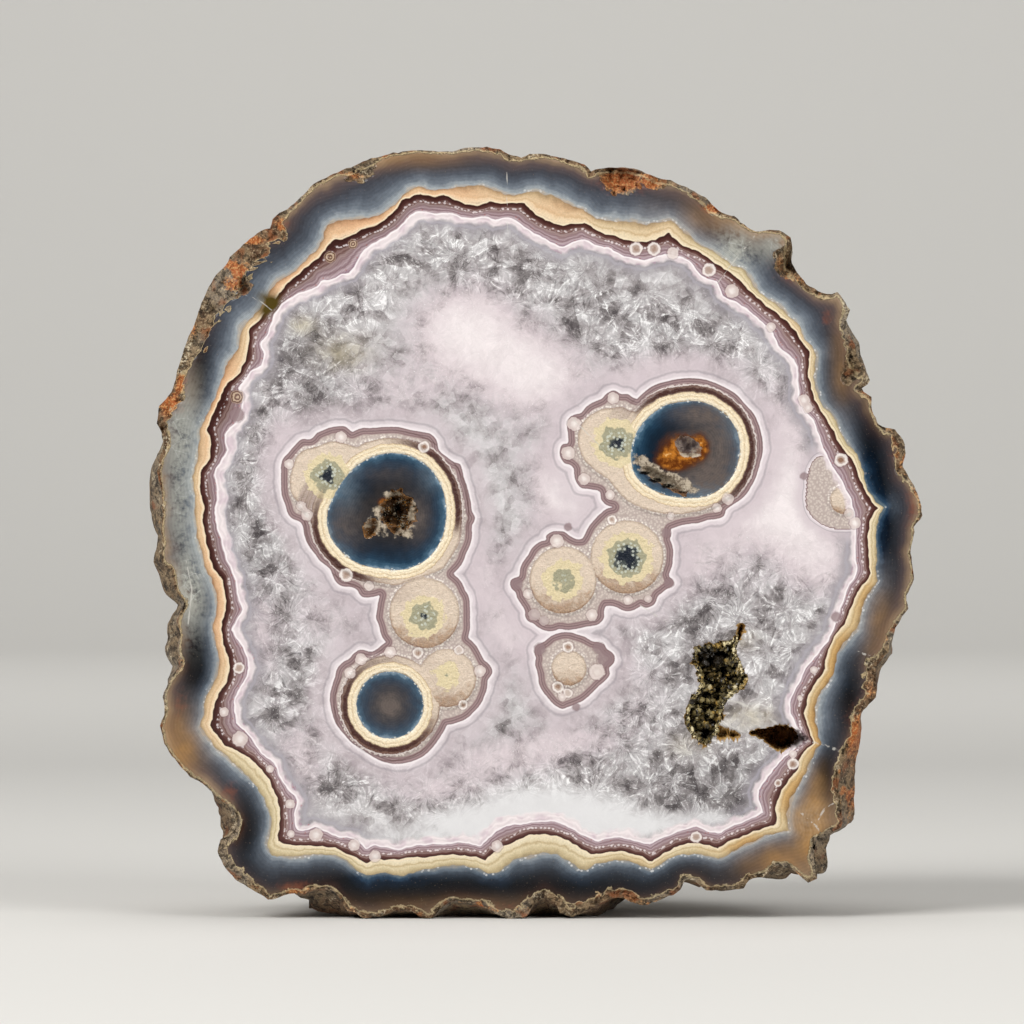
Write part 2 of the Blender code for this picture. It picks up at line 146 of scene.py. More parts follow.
CREAM_INSIDE_PX = [
    (403, 200), (410, 198), (420, 194), (432, 197), (445, 195, 1), (452, 199), (460, 202),
    (470, 205), (480, 205), (490, 202), (500, 203), (512, 203), (525, 203, 1), (528, 208),
    (535, 214), (545, 220), (555, 224), (565, 225), (575, 224), (585, 222, 1), (592, 228),
    (605, 233), (620, 238), (632, 241), (645, 242), (655, 240), (669, 233, 1), (678, 242),
    (690, 249), (700, 252), (712, 260), (725, 270), (735, 275), (745, 285), (755, 296), (770, 308),
    (780, 316), (790, 325), (800, 338), (808, 350), (810, 358), (808, 370), (810, 383), (815, 400),
    (824, 415), (830, 425), (838, 440), (843, 450), (850, 456), (856, 465), (860, 480), (866, 492),
    (872, 502), (878, 508, 1), (873, 515), (869, 525), (868, 545), (869, 560), (871, 573, 1),
    (866, 582), (858, 592), (852, 605), (848, 617), (843, 625), (833, 640), (829, 650), (826, 660),
    (825, 670, 1), (818, 680), (811, 690), (807, 700), (805, 712), (806, 722), (811, 735),
    (814, 743, 1), (801, 755), (798, 768), (792, 776), (785, 785), (779, 797), (776, 808),
    (777, 825, 1), (760, 829), (745, 835), (730, 841), (718, 848, 1), (708, 845), (695, 843),
    (680, 845), (665, 853), (651, 862, 1), (640, 856), (620, 851), (605, 853), (591, 854, 1),
    (580, 848), (570, 841), (555, 836), (540, 834), (525, 836), (515, 842), (500, 848),
    (485, 860, 1), (475, 857), (460, 855), (445, 855), (430, 857), (410, 858), (400, 861, 1),
    (380, 859), (367, 863, 1), (360, 861), (350, 855), (335, 848), (317, 846), (300, 846),
    (290, 845), (277, 841, 1), (280, 825), (280, 815), (278, 800), (274, 790), (266, 775),
    (255, 763), (240, 752), (225, 745), (217, 735), (209, 724, 1), (212, 718), (215, 705),
    (218, 695), (225, 685), (229, 672), (229, 660), (226, 650), (223, 640), (222, 628), (223, 620),
    (226, 610), (226, 600), (224, 590), (222, 578), (215, 570), (211, 560), (206, 540), (204, 530),
    (203, 520), (204, 505), (201, 495), (200, 480), (201, 472), (207, 463), (210, 455), (211, 440),
    (207, 431, 1), (214, 412), (220, 400), (225, 388), (231, 380, 1), (238, 376), (243, 366),
    (247, 357), (247, 350, 1), (249, 342), (249, 332), (252, 326), (260, 320), (264, 313),
    (270, 304), (278, 296), (283, 290), (286, 284), (292, 280), (300, 273), (312, 263), (320, 256),
    (326, 250), (329, 244), (333, 240, 1), (340, 240), (350, 236), (360, 231), (372, 226),
    (380, 223), (390, 216),
]
MAUVE_INSIDE_PX = [
    (400, 228), (410, 218), (415, 214), (425, 212), (435, 215), (450, 214), (460, 218), (475, 219),
    (487, 218), (495, 221), (505, 219), (513, 219), (522, 227), (535, 235), (550, 243), (560, 248),
    (567, 246), (583, 240, 1), (600, 248), (610, 249, 1), (620, 256), (640, 261), (650, 260),
    (665, 255, 1), (682, 258), (693, 266), (700, 276), (716, 282, 1), (722, 296), (733, 302),
    (745, 309), (760, 322), (772, 334), (777, 346), (793, 360), (797, 375), (798, 395), (802, 408),
    (813, 422), (821, 445), (829, 462), (840, 480), (850, 500), (855, 525), (855, 545), (855, 560),
    (856, 572), (850, 582), (845, 592), (841, 605), (835, 622), (827, 640), (815, 655), (805, 668),
    (797, 685), (790, 698), (789, 712), (797, 728), (804, 740, 1), (783, 757), (772, 769),
    (762, 783), (757, 790), (758, 800), (762, 812, 1), (745, 820), (730, 826), (720, 832, 1),
    (707, 830), (697, 826), (687, 828), (675, 832), (660, 838), (651, 843, 1), (635, 840),
    (620, 836), (597, 840, 1), (580, 833), (570, 826), (550, 820), (520, 823), (505, 825),
    (490, 835), (480, 845, 1), (463, 841), (445, 843), (417, 844), (397, 849, 1), (375, 844),
    (367, 848, 1), (355, 838), (340, 836), (325, 830), (315, 826), (305, 830), (297, 828, 1),
    (295, 815), (298, 805), (297, 797), (288, 788), (280, 775), (275, 762), (262, 752), (250, 735),
    (243, 728), (236, 722, 1), (237, 715), (235, 700), (246, 680), (250, 668), (247, 655),
    (240, 640), (233, 630), (240, 617), (243, 610), (240, 600), (238, 590), (235, 575), (228, 560),
    (222, 540), (217, 520), (217, 505), (219, 490), (215, 475), (222, 462), (228, 450), (226, 435),
    (235, 425), (242, 410), (243, 395), (240, 388), (252, 372), (262, 366), (265, 352), (261, 343),
    (268, 336), (272, 325), (276, 314), (285, 303), (300, 294), (318, 288), (322, 280, 1),
    (330, 281), (342, 275, 1), (350, 274), (358, 262), (365, 250), (383, 240),
]

# Outlines of the ringed eyes: the mauve coat round each group
EYES_LEFT_PX = [
    (352, 432, 1), (362, 428), (370, 428), (384, 427), (398, 427), (411, 430), (422, 432),
    (431, 434), (437, 441), (439, 450), (447, 457), (454, 462), (460, 464), (463, 473), (464, 478),
    (467, 486), (469, 494), (471, 503), (472, 511), (475, 517), (474, 522), (472, 526), (472, 537),
    (470, 545), (466, 554), (462, 564), (453, 574, 1), (458, 578), (462, 583), (465, 590),
    (469, 597), (470, 608), (470, 619), (470, 629), (468, 638, 1), (473, 642), (477, 647),
    (481, 654), (484, 660), (488, 663), (492, 669), (492, 674), (488, 680), (487, 688), (484, 697),
    (480, 705), (473, 713), (466, 719), (459, 722), (453, 724), (447, 725, 1), (444, 731),
    (439, 739), (433, 747), (425, 755), (416, 760), (406, 763), (395, 764), (384, 762), (373, 757),
    (363, 750), (352, 743), (343, 733), (336, 724), (332, 713), (330, 702), (330, 694), (332, 686),
    (335, 677), (337, 669), (343, 662), (349, 659), (353, 654), (359, 650), (365, 650), (371, 652),
    (377, 649), (382, 645), (386, 642, 1), (382, 637), (380, 630), (378, 623), (376, 618),
    (377, 610), (378, 603), (380, 595, 1), (373, 597), (362, 597), (357, 590), (351, 587),
    (341, 586), (334, 579), (330, 569), (320, 561), (315, 554), (308, 545), (304, 534), (303, 527),
    (300, 522), (293, 519), (288, 514), (285, 504), (282, 496), (281, 486), (281, 475), (281, 466),
    (283, 459), (289, 452), (296, 444), (302, 439), (311, 439), (317, 433), (326, 429), (332, 427),
    (341, 426), (346, 427),
]
EYES_RIGHT_PX = [
    (637, 399, 1), (643, 393), (651, 387), (660, 383), (668, 381), (678, 379), (689, 378),
    (702, 379), (713, 382), (724, 387), (736, 394), (745, 404), (754, 414), (759, 425), (762, 437),
    (763, 448), (762, 456), (759, 467), (756, 477), (751, 487), (744, 497), (737, 502), (731, 506),
    (726, 510), (724, 516), (717, 519), (708, 520), (699, 523), (689, 524), (679, 526),
    (671, 529, 1), (671, 536), (670, 539), (673, 548), (673, 558), (672, 566), (669, 575),
    (672, 579), (674, 583), (671, 587), (667, 589), (662, 593), (658, 596), (656, 602), (652, 606),
    (646, 608), (641, 606, 1), (636, 609), (631, 611), (624, 611), (618, 608), (612, 606),
    (606, 606, 1), (604, 611), (604, 618), (599, 624), (592, 626), (585, 627), (576, 629),
    (568, 630), (559, 629), (554, 631), (546, 631), (539, 628), (534, 624), (528, 621), (525, 616),
    (525, 611), (521, 604), (517, 598), (516, 593), (512, 589), (510, 584), (512, 579), (519, 576),
    (520, 569), (523, 562), (528, 555), (532, 548), (539, 542), (546, 540), (546, 536), (551, 532),
    (558, 531), (565, 532), (570, 536), (576, 539), (582, 539, 1), (585, 534), (589, 526),
    (595, 519), (601, 513), (606, 509), (613, 507, 1), (606, 505), (601, 499), (600, 492),
    (595, 490), (588, 489), (581, 488), (576, 482), (574, 474), (574, 469), (570, 465), (564, 463),
    (560, 456), (560, 449), (563, 444), (568, 443), (568, 435), (567, 425), (569, 418), (576, 414),
    (581, 413), (587, 406), (594, 402), (601, 399), (605, 395), (611, 391), (616, 391), (621, 394),
    (628, 394), (632, 397),
]
SHIELD_PX = [
    (568, 632), (576, 634), (585, 637), (592, 641), (598, 642), (604, 644), (607, 649), (613, 653),
    (615, 659), (613, 664), (609, 668), (610, 674), (606, 680), (599, 686), (591, 694), (584, 700),
    (576, 704), (568, 707), (562, 709), (556, 706), (552, 703), (548, 698), (543, 692), (539, 684),
    (538, 675), (535, 664), (536, 658), (534, 652), (536, 646), (541, 643), (545, 641), (551, 636),
    (559, 633),
]
HALF_DISC_PX = [
    (826, 457), (835, 463), (842, 474), (850, 480), (858, 492), (864, 505), (866, 517), (860, 526),
    (850, 529), (838, 529), (826, 526), (815, 519), (808, 510), (806, 499), (807, 488), (808, 475),
    (812, 463), (818, 457),
]
# The brown edges of the round growths inside the coats
GROWTH_A_PX = [
    (350, 445, 1), (357, 447), (365, 443), (371, 441), (379, 439), (390, 438), (401, 439),
    (411, 441), (422, 446), (429, 453), (439, 460), (447, 469), (454, 477), (458, 486), (461, 497),
    (463, 508), (463, 519), (462, 530), (460, 541), (456, 549), (451, 557), (444, 567), (435, 572),
    (422, 577), (411, 580), (398, 585), (387, 584), (376, 582), (365, 579), (354, 575), (346, 569),
    (336, 563), (327, 554), (319, 544), (315, 534), (311, 524), (309, 515), (302, 507), (296, 500),
    (291, 492), (290, 481), (291, 473), (294, 463), (298, 455), (305, 450), (316, 447), (326, 443),
    (335, 441), (343, 443),
]
GROWTH_B_PX = [
    (636, 412, 1), (645, 404), (652, 399), (661, 393), (672, 388), (684, 386), (695, 386),
    (706, 388), (717, 391), (726, 397), (736, 405), (743, 415), (750, 428), (753, 440), (754, 452),
    (752, 464), (747, 475), (742, 484), (734, 492), (726, 498), (717, 504), (706, 509), (694, 512),
    (681, 514), (668, 514), (655, 512), (642, 508), (631, 503), (622, 496), (615, 488),
    (609, 480, 1), (600, 474), (590, 466), (583, 458), (579, 448), (578, 437), (581, 427),
    (586, 419), (594, 413), (603, 409), (613, 408), (622, 407), (629, 410),
]
CORE_A_PX = [
    (394, 453), (410, 456), (425, 464), (436, 476), (443, 490), (446, 506), (446, 520), (443, 535),
    (436, 549), (426, 560), (413, 567), (400, 570), (385, 569), (370, 567), (355, 562), (343, 553),
    (334, 543), (329, 533), (327, 522), (328, 510), (333, 498), (338, 488), (345, 478), (352, 470),
    (362, 462), (378, 455),
]
CORE_B_PX = [
    (694, 401), (706, 403), (718, 409), (728, 417), (735, 427), (739, 438), (740, 450), (738, 463),
    (733, 475), (725, 485), (714, 493), (702, 497), (688, 498), (674, 497), (660, 493), (648, 487),
    (639, 480), (633, 470), (631, 458), (632, 446), (636, 434), (643, 423), (653, 413), (666, 405),
    (680, 402),
]
# Round growths: centre, and radius of the brown edge
ROUND_GROWTHS_PX = [
    ((424.5, 613), 35), ((447, 678), 29), ((390, 705), 50), ((627, 557), 36.5), ((563, 580), 33.5),
    ((569, 668), 17.5), ((844, 500), 14),
]
# Hearts of the growths: centre, radii of the yellow, the grey-green and the dark dots
HEARTS_PX = [
    ((328, 476), 23, 16, 7), ((617, 443), 24, 17, 7), ((424, 616), 21, 14, 3),
    ((447, 676), 13, 0, 0), ((627, 558), 26, 19, 13), ((563, 580), 20, 12, 0),
]
# Dark crescents of the large eyes: centre, reach, angles in degrees and how dark it is at each
CRESCENTS_PX = [
    ((388, 512), 100, (-180, -140, -100, -70, -40, 0, 20, 60, 100, 120, 150, 180),
     (0.5, 0.0, 0.1, 0.5, 1.0, 0.9, 0.2, 0.0, 0.3, 0.8, 1.0, 0.5)),
    ((685, 450), 90, (-180, -150, -120, -80, -40, 0, 30, 50, 80, 120, 180),
     (0.0, 0.2, 0.7, 1.0, 1.0, 1.0, 0.7, 0.4, 0.0, 0.0, 0.0)),
    ((390, 705), 70, (-180, -120, -90, -50, 0, 50, 90, 130, 180),
     (0.8, 0.4, 0.3, 0.1, 0.1, 0.6, 0.9, 0.9, 0.8)),
]
# The round core of the small eye: centre and radius
ROUND_CORE_PX = ((390, 705), 33.5)

# Small bubbles: centre, radius, and how brown the middle is
BUBBLES_PX = [
    ((709, 270), 7, 0.6), ((732, 291), 7, 0.2), ((771, 327), 5, 0.2), ((804, 400), 6, 0.3),
    ((808, 408), 5, 0.2), ((841, 460), 7, 1.0), ((849, 514), 5, 0.2), ((855, 523), 6, 0.2),
    ((636, 249), 7, 0.7), ((654, 249), 7, 0.7), ((673, 253), 6, 0.4), ((793, 764), 6, 0.8),
    ((793, 754), 4, 0.0), ((778, 783), 4, 0.8), ((696, 837), 6, 0.6), ((497, 846), 6, 0.2),
    ((375, 856), 6, 0.3), ((354, 845), 6, 0.3), ((316, 835), 7, 0.3), ((290, 804), 5, 0.2),
    ((291, 834), 4, 0.2), ((270, 769), 4, 0.2), ((240, 739), 8, 0.1), ((239, 668), 6, 0.6),
    ((237, 397), 7, 2.0), ((330, 257), 6, 2.0), ((353, 244), 5, 2.0), ((814, 670), 4, 0.0),
    ((800, 698), 3, 0.0), ((341, 437), 6, 0.1), ((289, 464), 5, 0.2), ((301, 506), 5, 0.2),
    ((307, 515), 6, 0.3), ((346, 575), 7, 0.7), ((369, 586), 5, 0.4), ((424, 447), 6, 1.0),
    ((613, 398), 6, 0.0), ((574, 424), 7, 0.0), ((568, 453), 7, 0.0), ((584, 479), 6, 0.0),
    ((610, 495), 5, 0.0), ((728, 499), 6, 0.0), ((717, 508), 5, 0.1), ((671, 516), 4, 0.0),
    ((361, 659), 6, 0.0), ((390, 652), 6, 0.0), ((350, 673), 6, 0.3), ((418, 653), 6, 1.0),
    ((480, 671), 6, 0.0), ((463, 705), 5, 0.9), ((459, 650), 5, 0.5), ((557, 541), 7, 0.1),
    ((612, 520), 5, 0.7), ((517, 584), 6, -0.6), ((528, 594), 5, 0.1), ((534, 615), 6, -0.3),
    ((544, 621), 5, -0.3), ((592, 615), 6, 0.0), ((666, 533), 5, -0.6), ((669, 583), 5, -0.6),
    ((648, 599), 4, -0.2), ((628, 600), 5, 0.3), ((568, 647), 6, 1.0), ((597, 672), 8, 0.4),
    ((558, 687), 6, 0.9), ((568, 693), 5, 0.5), ((562, 697), 4, 0.1), ((605, 659), 8, -0.5),
    ((599, 648), 6, -0.5), ((540, 649), 6, -0.5), ((576, 707), 4, -0.8), ((568, 527), 4, -1.0),
    ((804, 476), 4, -0.9), ((836, 617), 5, -0.5), ((237, 415), 7, -0.5), ((224, 712), 5, 0.1),
]

# The rough cavity, its upper tail, the narrow slot and the gap between them
VUG_EDGE_PX = [
    (739, 633), (729, 641), (711, 644), (695, 647), (693, 661), (700, 684), (690, 700), (685, 724),
    (699, 742), (711, 743), (720, 724), (726, 702), (747, 684), (745, 671), (736, 651),
]
VUG_TAIL_PX = [(736, 640), (737, 630), (740, 622), (745, 624), (744, 632), (741, 640)]
SLOT_EDGE_PX = [
    (750, 734), (760, 738), (770, 746), (782, 751), (800, 746), (808, 739), (794, 728), (779, 725),
    (764, 728), (752, 731),
]
WINDOW_EDGE_PX = [
    (717, 740), (714, 731), (718, 724), (724, 727), (731, 730), (741, 732), (739, 738), (728, 739),
]
# Each of them with its depth in metres and the width of its walls
CAVITIES_PX = [
    (VUG_EDGE_PX, VUG_DEPTH * 0.93, 9), (VUG_TAIL_PX, 0.0018, 4),
    (SLOT_EDGE_PX, SLOT_DEPTH * 0.95, 5), (WINDOW_EDGE_PX, 0.0013, 6),
]
# The middle of the cavity, and where its crystals are painted dark as shadow: centre x and y, radii,
# strength
CAVITY_MIDDLE_PX = (712, 692)
CAVITY_SHADOW_PX = [(711, 657, 17, 12, 1.1), (706, 734, 8, 8, 0.9)]
# Chips and hollows: centre, radii, turn in degrees, depth in metres
HOLLOWS_PX = [
    ((622, 170), (24, 23), 0, 0.0030), ((655, 180), (11, 10), 12, 0.0016),
    ((712, 203), (14, 11), 35, 0.0016), ((790, 262), (14, 16), 0, 0.0030),
    ((816, 287), (17, 9), 30, 0.0016), ((857, 358), (9, 27), 20, 0.0018),
    ((357, 166), (15, 16), -12, 0.0016), ((243, 286), (7, 9), 0, 0.0018),
    ((398, 512), (17, 21), 0, 0.0022), ((371, 528), (7, 11), 20, 0.0012),
    ((688, 446), (13, 9), 20, 0.0014), ((664, 480), (27, 5), 33, 0.0012),
    ((828, 852), (15, 17), -20, 0.0035), ((158, 438), (8, 18), 4, 0.0022),
]

# Swellings of the husk behind the face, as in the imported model: place on the edge, width, height
HUSK_SWELLS_PX = [
    ((160, 500), 42, 15), ((166, 575), 42, 17), ((178, 640), 40, 15), ((233, 820), 22, 20),
    ((842, 790), 52, 22), ((816, 862), 30, 30), ((778, 868), 28, 20), ((322, 890), 22, 16),
    ((545, 898), 22, 18), ((700, 884), 26, 8), ((884, 662), 26, 7), ((850, 345), 30, 6),
]

# The dome and its foot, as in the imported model, in metres unless the name says otherwise
FOOT_LEFT_PX = 352
FOOT_RIGHT_PX = 594
FOOT_REACH = 0.0045
DOME_ROUNDNESS = 2.35
FOOT_SQUARENESS = 1.5
RING_GRADING = 0.08
EVENED_DEPTH = 0.0045
LUMP_SIZE = 0.015
LUMP_HEIGHT = 0.0022
KNOB_SIZE = 0.0075
KNOB_HEIGHT = 0.0021
GRAIN_SIZE = 0.0021
PIMPLE_SIZE = 0.0024

# Rings of the stone's mesh, from the cream band out over the edge to the back
BAND_START_PX = 48
BAND_WIDTH_PX = 62
BAND_RINGS = 21
EDGE_RINGS = 13
HUSK_RINGS = 36

# The heap of crystals in the cavity: its highest grains lie this deep, and it is this high
GRAIN_TOP_DEPTH = 0.0007
GRAIN_HEAP_HEIGHT = 0.0045

# How fast the needles in the quartz change along their length
NEEDLE_LENGTH_PX = 46

# The rough border slopes back from the flat face by this share of its width, up to a limit
BORDER_SLOPE = 0.33
BORDER_LIMIT_PX = 16

# Soft patches on the face, by the name of their field: centre x and y, radii, strength
PATCHES_PX = {
    "cloud": [
        (465, 330, 58, 46, 1.1), (535, 375, 55, 42, 1.0), (640, 392, 45, 30, 0.6),
        (395, 395, 60, 35, 0.5), (500, 450, 30, 40, 0.2), (568, 490, 40, 55, 1.1),
        (500, 600, 30, 60, 0.6), (470, 560, 20, 50, 0.5), (540, 640, 40, 30, 0.7),
        (310, 600, 36, 50, 0.35), (350, 625, 40, 30, 0.4), (690, 365, 60, 20, 0.5),
        (780, 430, 40, 60, 0.6), (790, 500, 35, 50, 0.8), (820, 560, 40, 40, 0.8),
        (700, 560, 60, 40, 0.6), (740, 520, 60, 25, 0.6), (570, 740, 60, 25, 0.6),
        (490, 760, 60, 25, 0.6), (300, 760, 30, 50, 0.6), (260, 640, 20, 60, 0.5),
        (430, 790, 60, 20, 0.5), (640, 690, 30, 40, 0.4), (285, 450, 30, 50, 0.6),
    ],
    "snow": [
        (550, 812, 80, 26, 1.3), (640, 826, 50, 12, 0.9), (470, 826, 60, 14, 0.8),
        (400, 838, 50, 9, 0.6), (720, 818, 40, 9, 0.6),
    ],
    "smoke": [
        (430, 255, 60, 22, 0.6), (560, 275, 60, 22, 0.8), (610, 315, 60, 25, 0.7),
        (700, 330, 50, 22, 0.6), (320, 400, 50, 60, 0.7), (310, 330, 40, 30, 0.7),
        (262, 550, 25, 80, 1.3), (290, 700, 30, 50, 0.8), (350, 785, 50, 20, 0.7),
        (640, 760, 50, 30, 0.7), (690, 690, 40, 60, 0.7), (700, 610, 60, 30, 0.7),
        (770, 660, 30, 60, 0.5), (800, 600, 30, 30, 0.4), (520, 700, 30, 50, 0.3),
        (740, 782, 50, 34, 1.7), (690, 795, 44, 20, 1.2), (292, 352, 44, 30, 0.9),
    ],
    "feather": [
        (350, 290, 50, 30, 1.0), (312, 338, 40, 30, 0.9), (430, 250, 60, 20, 1.0),
        (520, 275, 60, 30, 1.0), (620, 320, 60, 30, 1.0), (700, 340, 60, 25, 0.9),
        (770, 380, 35, 50, 0.8), (250, 430, 30, 60, 0.9), (250, 520, 30, 50, 1.0),
        (280, 600, 35, 50, 1.0), (290, 690, 35, 50, 1.0), (330, 770, 50, 35, 1.0),
        (430, 790, 60, 25, 0.9), (560, 775, 80, 25, 0.9), (660, 780, 60, 35, 1.0),
        (740, 780, 50, 40, 1.0), (800, 580, 40, 40, 1.0), (720, 600, 60, 40, 0.8),
        (770, 670, 30, 50, 0.8), (660, 650, 50, 40, 0.7), (650, 720, 50, 40, 0.7),
        (320, 390, 60, 40, 0.8),
    ],
    "navy": [
        (200, 365, 13, 60, 0.8), (270, 240, 40, 30, 0.3), (870, 470, 20, 80, 1.0),
        (885, 540, 18, 60, 0.8), (830, 380, 18, 50, 0.5), (850, 700, 16, 50, 1.0),
        (825, 775, 14, 40, 1.0), (550, 888, 220, 26, 1.0), (350, 889, 90, 22, 0.8),
        (195, 665, 18, 44, 1.1), (245, 830, 20, 44, 1.0), (720, 870, 60, 12, 0.3),
    ],
    "milk": [
        (190, 590, 16, 40, 1.0), (180, 430, 22, 50, 0.8), (180, 510, 16, 40, 0.6),
        (735, 250, 20, 22, 0.9), (775, 245, 16, 14, 0.7), (810, 820, 18, 18, 0.25),
        (345, 490, 13, 22, 0.5), (432, 478, 12, 14, 0.4), (702, 488, 22, 7, 0.9),
        (728, 430, 9, 20, 0.4), (688, 444, 13, 8, 1.6),
    ],
    "amber": [
        (700, 225, 60, 22, 0.5), (185, 740, 26, 30, 0.9), (190, 392, 12, 26, 0.25),
        (780, 855, 50, 18, 0.7), (806, 822, 20, 22, 1.8), (812, 790, 12, 30, 0.9),
        (875, 620, 16, 40, 0.6), (470, 905, 140, 10, 0.2), (840, 370, 12, 40, 0.5),
        (400, 160, 60, 10, 0.4),
    ],
    "rust": [
        (228, 264, 9, 6, 1.0), (231, 285, 12, 10, 0.8), (238, 272, 6, 5, 0.9),
        (252, 240, 14, 6, 1.0), (283, 225, 10, 8, 1.0), (170, 405, 14, 12, 1.0),
        (181, 382, 6, 10, 1.0), (193, 330, 6, 12, 0.7), (622, 180, 26, 16, 1.0),
        (712, 208, 12, 7, 1.0), (655, 184, 14, 6, 0.6), (783, 262, 14, 18, 0.5),
        (800, 280, 30, 8, 0.5), (826, 318, 8, 10, 0.8), (913, 505, 10, 24, 0.8),
        (890, 428, 10, 8, 0.5), (856, 735, 10, 30, 0.7), (850, 800, 12, 60, 0.6),
        (294, 888, 16, 8, 1.0), (230, 792, 12, 10, 0.9), (180, 705, 12, 16, 0.6),
        (355, 175, 14, 6, 0.7), (500, 908, 60, 8, 0.5), (640, 902, 60, 8, 0.5),
        (845, 870, 20, 16, 0.5), (894, 452, 10, 14, 0.6), (870, 690, 10, 14, 0.6),
    ],
    "warm": [
        (215, 540, 26, 90, 0.8), (225, 400, 30, 80, 1.0), (280, 270, 50, 50, 1.0),
        (370, 225, 60, 30, 1.0), (450, 195, 60, 16, 0.8), (560, 210, 60, 18, 0.6),
        (220, 640, 16, 60, 0.6), (215, 720, 20, 30, 0.5), (660, 230, 50, 20, 0.3),
        (800, 345, 20, 60, 0.3),
    ],
    "tan": [
        (345, 352, 26, 16, 0.9), (302, 325, 14, 9, 0.9), (752, 717, 30, 13, 0.8),
        (690, 745, 20, 12, 0.5), (745, 640, 14, 10, 0.5), (813, 742, 8, 8, 0.6),
    ],
    "gold": [
        (384, 503, 6, 5, 1.0), (408, 520, 5, 6, 0.9), (683, 449, 21, 15, 1.1),
        (672, 462, 16, 9, 0.9), (701, 447, 8, 12, 0.6), (864, 590, 16, 46, 0.7),
        (838, 665, 20, 46, 1.0), (818, 728, 18, 36, 1.0), (796, 795, 26, 30, 1.0),
        (745, 843, 46, 14, 0.8), (640, 862, 60, 12, 0.4),
    ],
    "rubble": [
        (640, 460, 8, 6, 1.0), (650, 469, 10, 6, 1.2), (664, 477, 12, 6, 1.2),
        (680, 484, 12, 6, 1.1), (692, 490, 8, 4, 0.8), (690, 455, 11, 2.5, 1.2),
        (378, 512, 7, 9, 0.8), (392, 494, 12, 4, 0.8), (412, 514, 5, 14, 0.8),
        (404, 533, 12, 5, 0.9), (380, 530, 8, 7, 0.7), (368, 524, 5, 5, 0.8),
    ],
    # Painted shadow: the black line under the right core's rubble and the black inside the left core's
    # hollow
    "painted_shadow": [
        (645, 473, 7, 3, 1.0), (656, 480, 9, 3, 1.0), (668, 486, 9, 3, 1.0), (680, 492, 7, 2, 0.8),
        (398, 510, 9, 13, 0.8), (384, 514, 5, 6, 0.7), (404, 528, 6, 6, 0.5),
    ],
    "murk": [
        (342, 528, 22, 26, 0.8), (400, 512, 34, 34, 0.4), (715, 452, 26, 46, 1.2),
        (695, 413, 26, 10, 0.9), (690, 480, 40, 14, 0.7), (389, 705, 10, 10, 1.3),
        (390, 705, 32, 32, 0.55), (418, 520, 12, 20, 0.7), (385, 472, 40, 10, 0.35),
    ],
    "olive": [
        (272, 303, 9, 9, 1.3), (264, 312, 7, 6, 0.8), (262, 296, 6, 5, 0.6),
    ],
}

# Cracks and healed fissures, as open lines
CRACKS_PX = [
    ([(808, 741), (816, 743), (824, 745), (843, 752), (847, 762), (845, 772)], 1.6),
    ([(851, 648), (858, 651), (864, 654), (880, 658)], 1.0),
    ([(757, 233), (745, 248), (730, 266), (716, 285)], 0.8),
    ([(507, 172), (507, 205), (508, 237)], 0.7),
    ([(800, 812), (808, 819), (816, 826), (823, 836)], 1.2),
    ([(818, 820), (825, 808), (833, 804)], 1.2),
    ([(232, 293), (244, 294), (258, 300), (272, 310)], 1.2),
    ([(175, 577), (190, 572), (204, 576)], 0.8), ([(186, 560), (192, 590), (188, 625)], 0.8),
    ([(640, 605), (663, 620), (684, 630)], 0.7), ([(572, 418), (600, 446), (609, 456)], 0.7),
    ([(727, 700), (740, 703), (758, 712), (776, 723)], 1.3),
    ([(713, 726), (722, 723), (738, 729), (742, 735), (726, 738), (716, 735)], 1.0),
]

# The studio, in metres and watts. Each light: name, place, the point it looks at, width, power
LIGHTS = [
    ("key_light", (-0.55, -0.55, 0.65), (0, 0, 0.04), 0.5, 8.0),
    ("fill_light", (0.65, -0.60, 0.40), (0, 0, 0.04), 0.6, 5.0),
    ("top_light", (0.0, 0.10, 0.9), (0, 0, 0.04), 0.5, 2.0),
    ("back_light", (0.0, 0.55, 1.1), (0.0, 1.7, 0.9), 1.2, 10.0),
]
LIGHT_TINT = (1.0, 0.985, 0.96)
WORLD_STRENGTH = 0.15
FLOOR_HALF_WIDTH = 3.0
FLOOR_FRONT_Y = -1.2
FLOOR_BEND_Y = 1.2
FLOOR_BEND_RADIUS = 0.5
BACKDROP_HEIGHT = 3.0


def tone(code):
    """A colour written as six hexadecimal digits, as scene-linear values."""
    parts = [int(code[start:start + 2], 16) / 255 for start in (0, 2, 4)]
    linear = [part / 12.92 if part <= 0.04045 else ((part + 0.055) / 1.055) ** 2.4 for part in parts]
    return (*linear, 1.0)


def colour_property(name, description, code):
    """A colour that the user may change."""
    return FloatVectorProperty(name=name, description=description, default=tone(code), size=4,
                               subtype="COLOR", min=0.0, max=1.0)


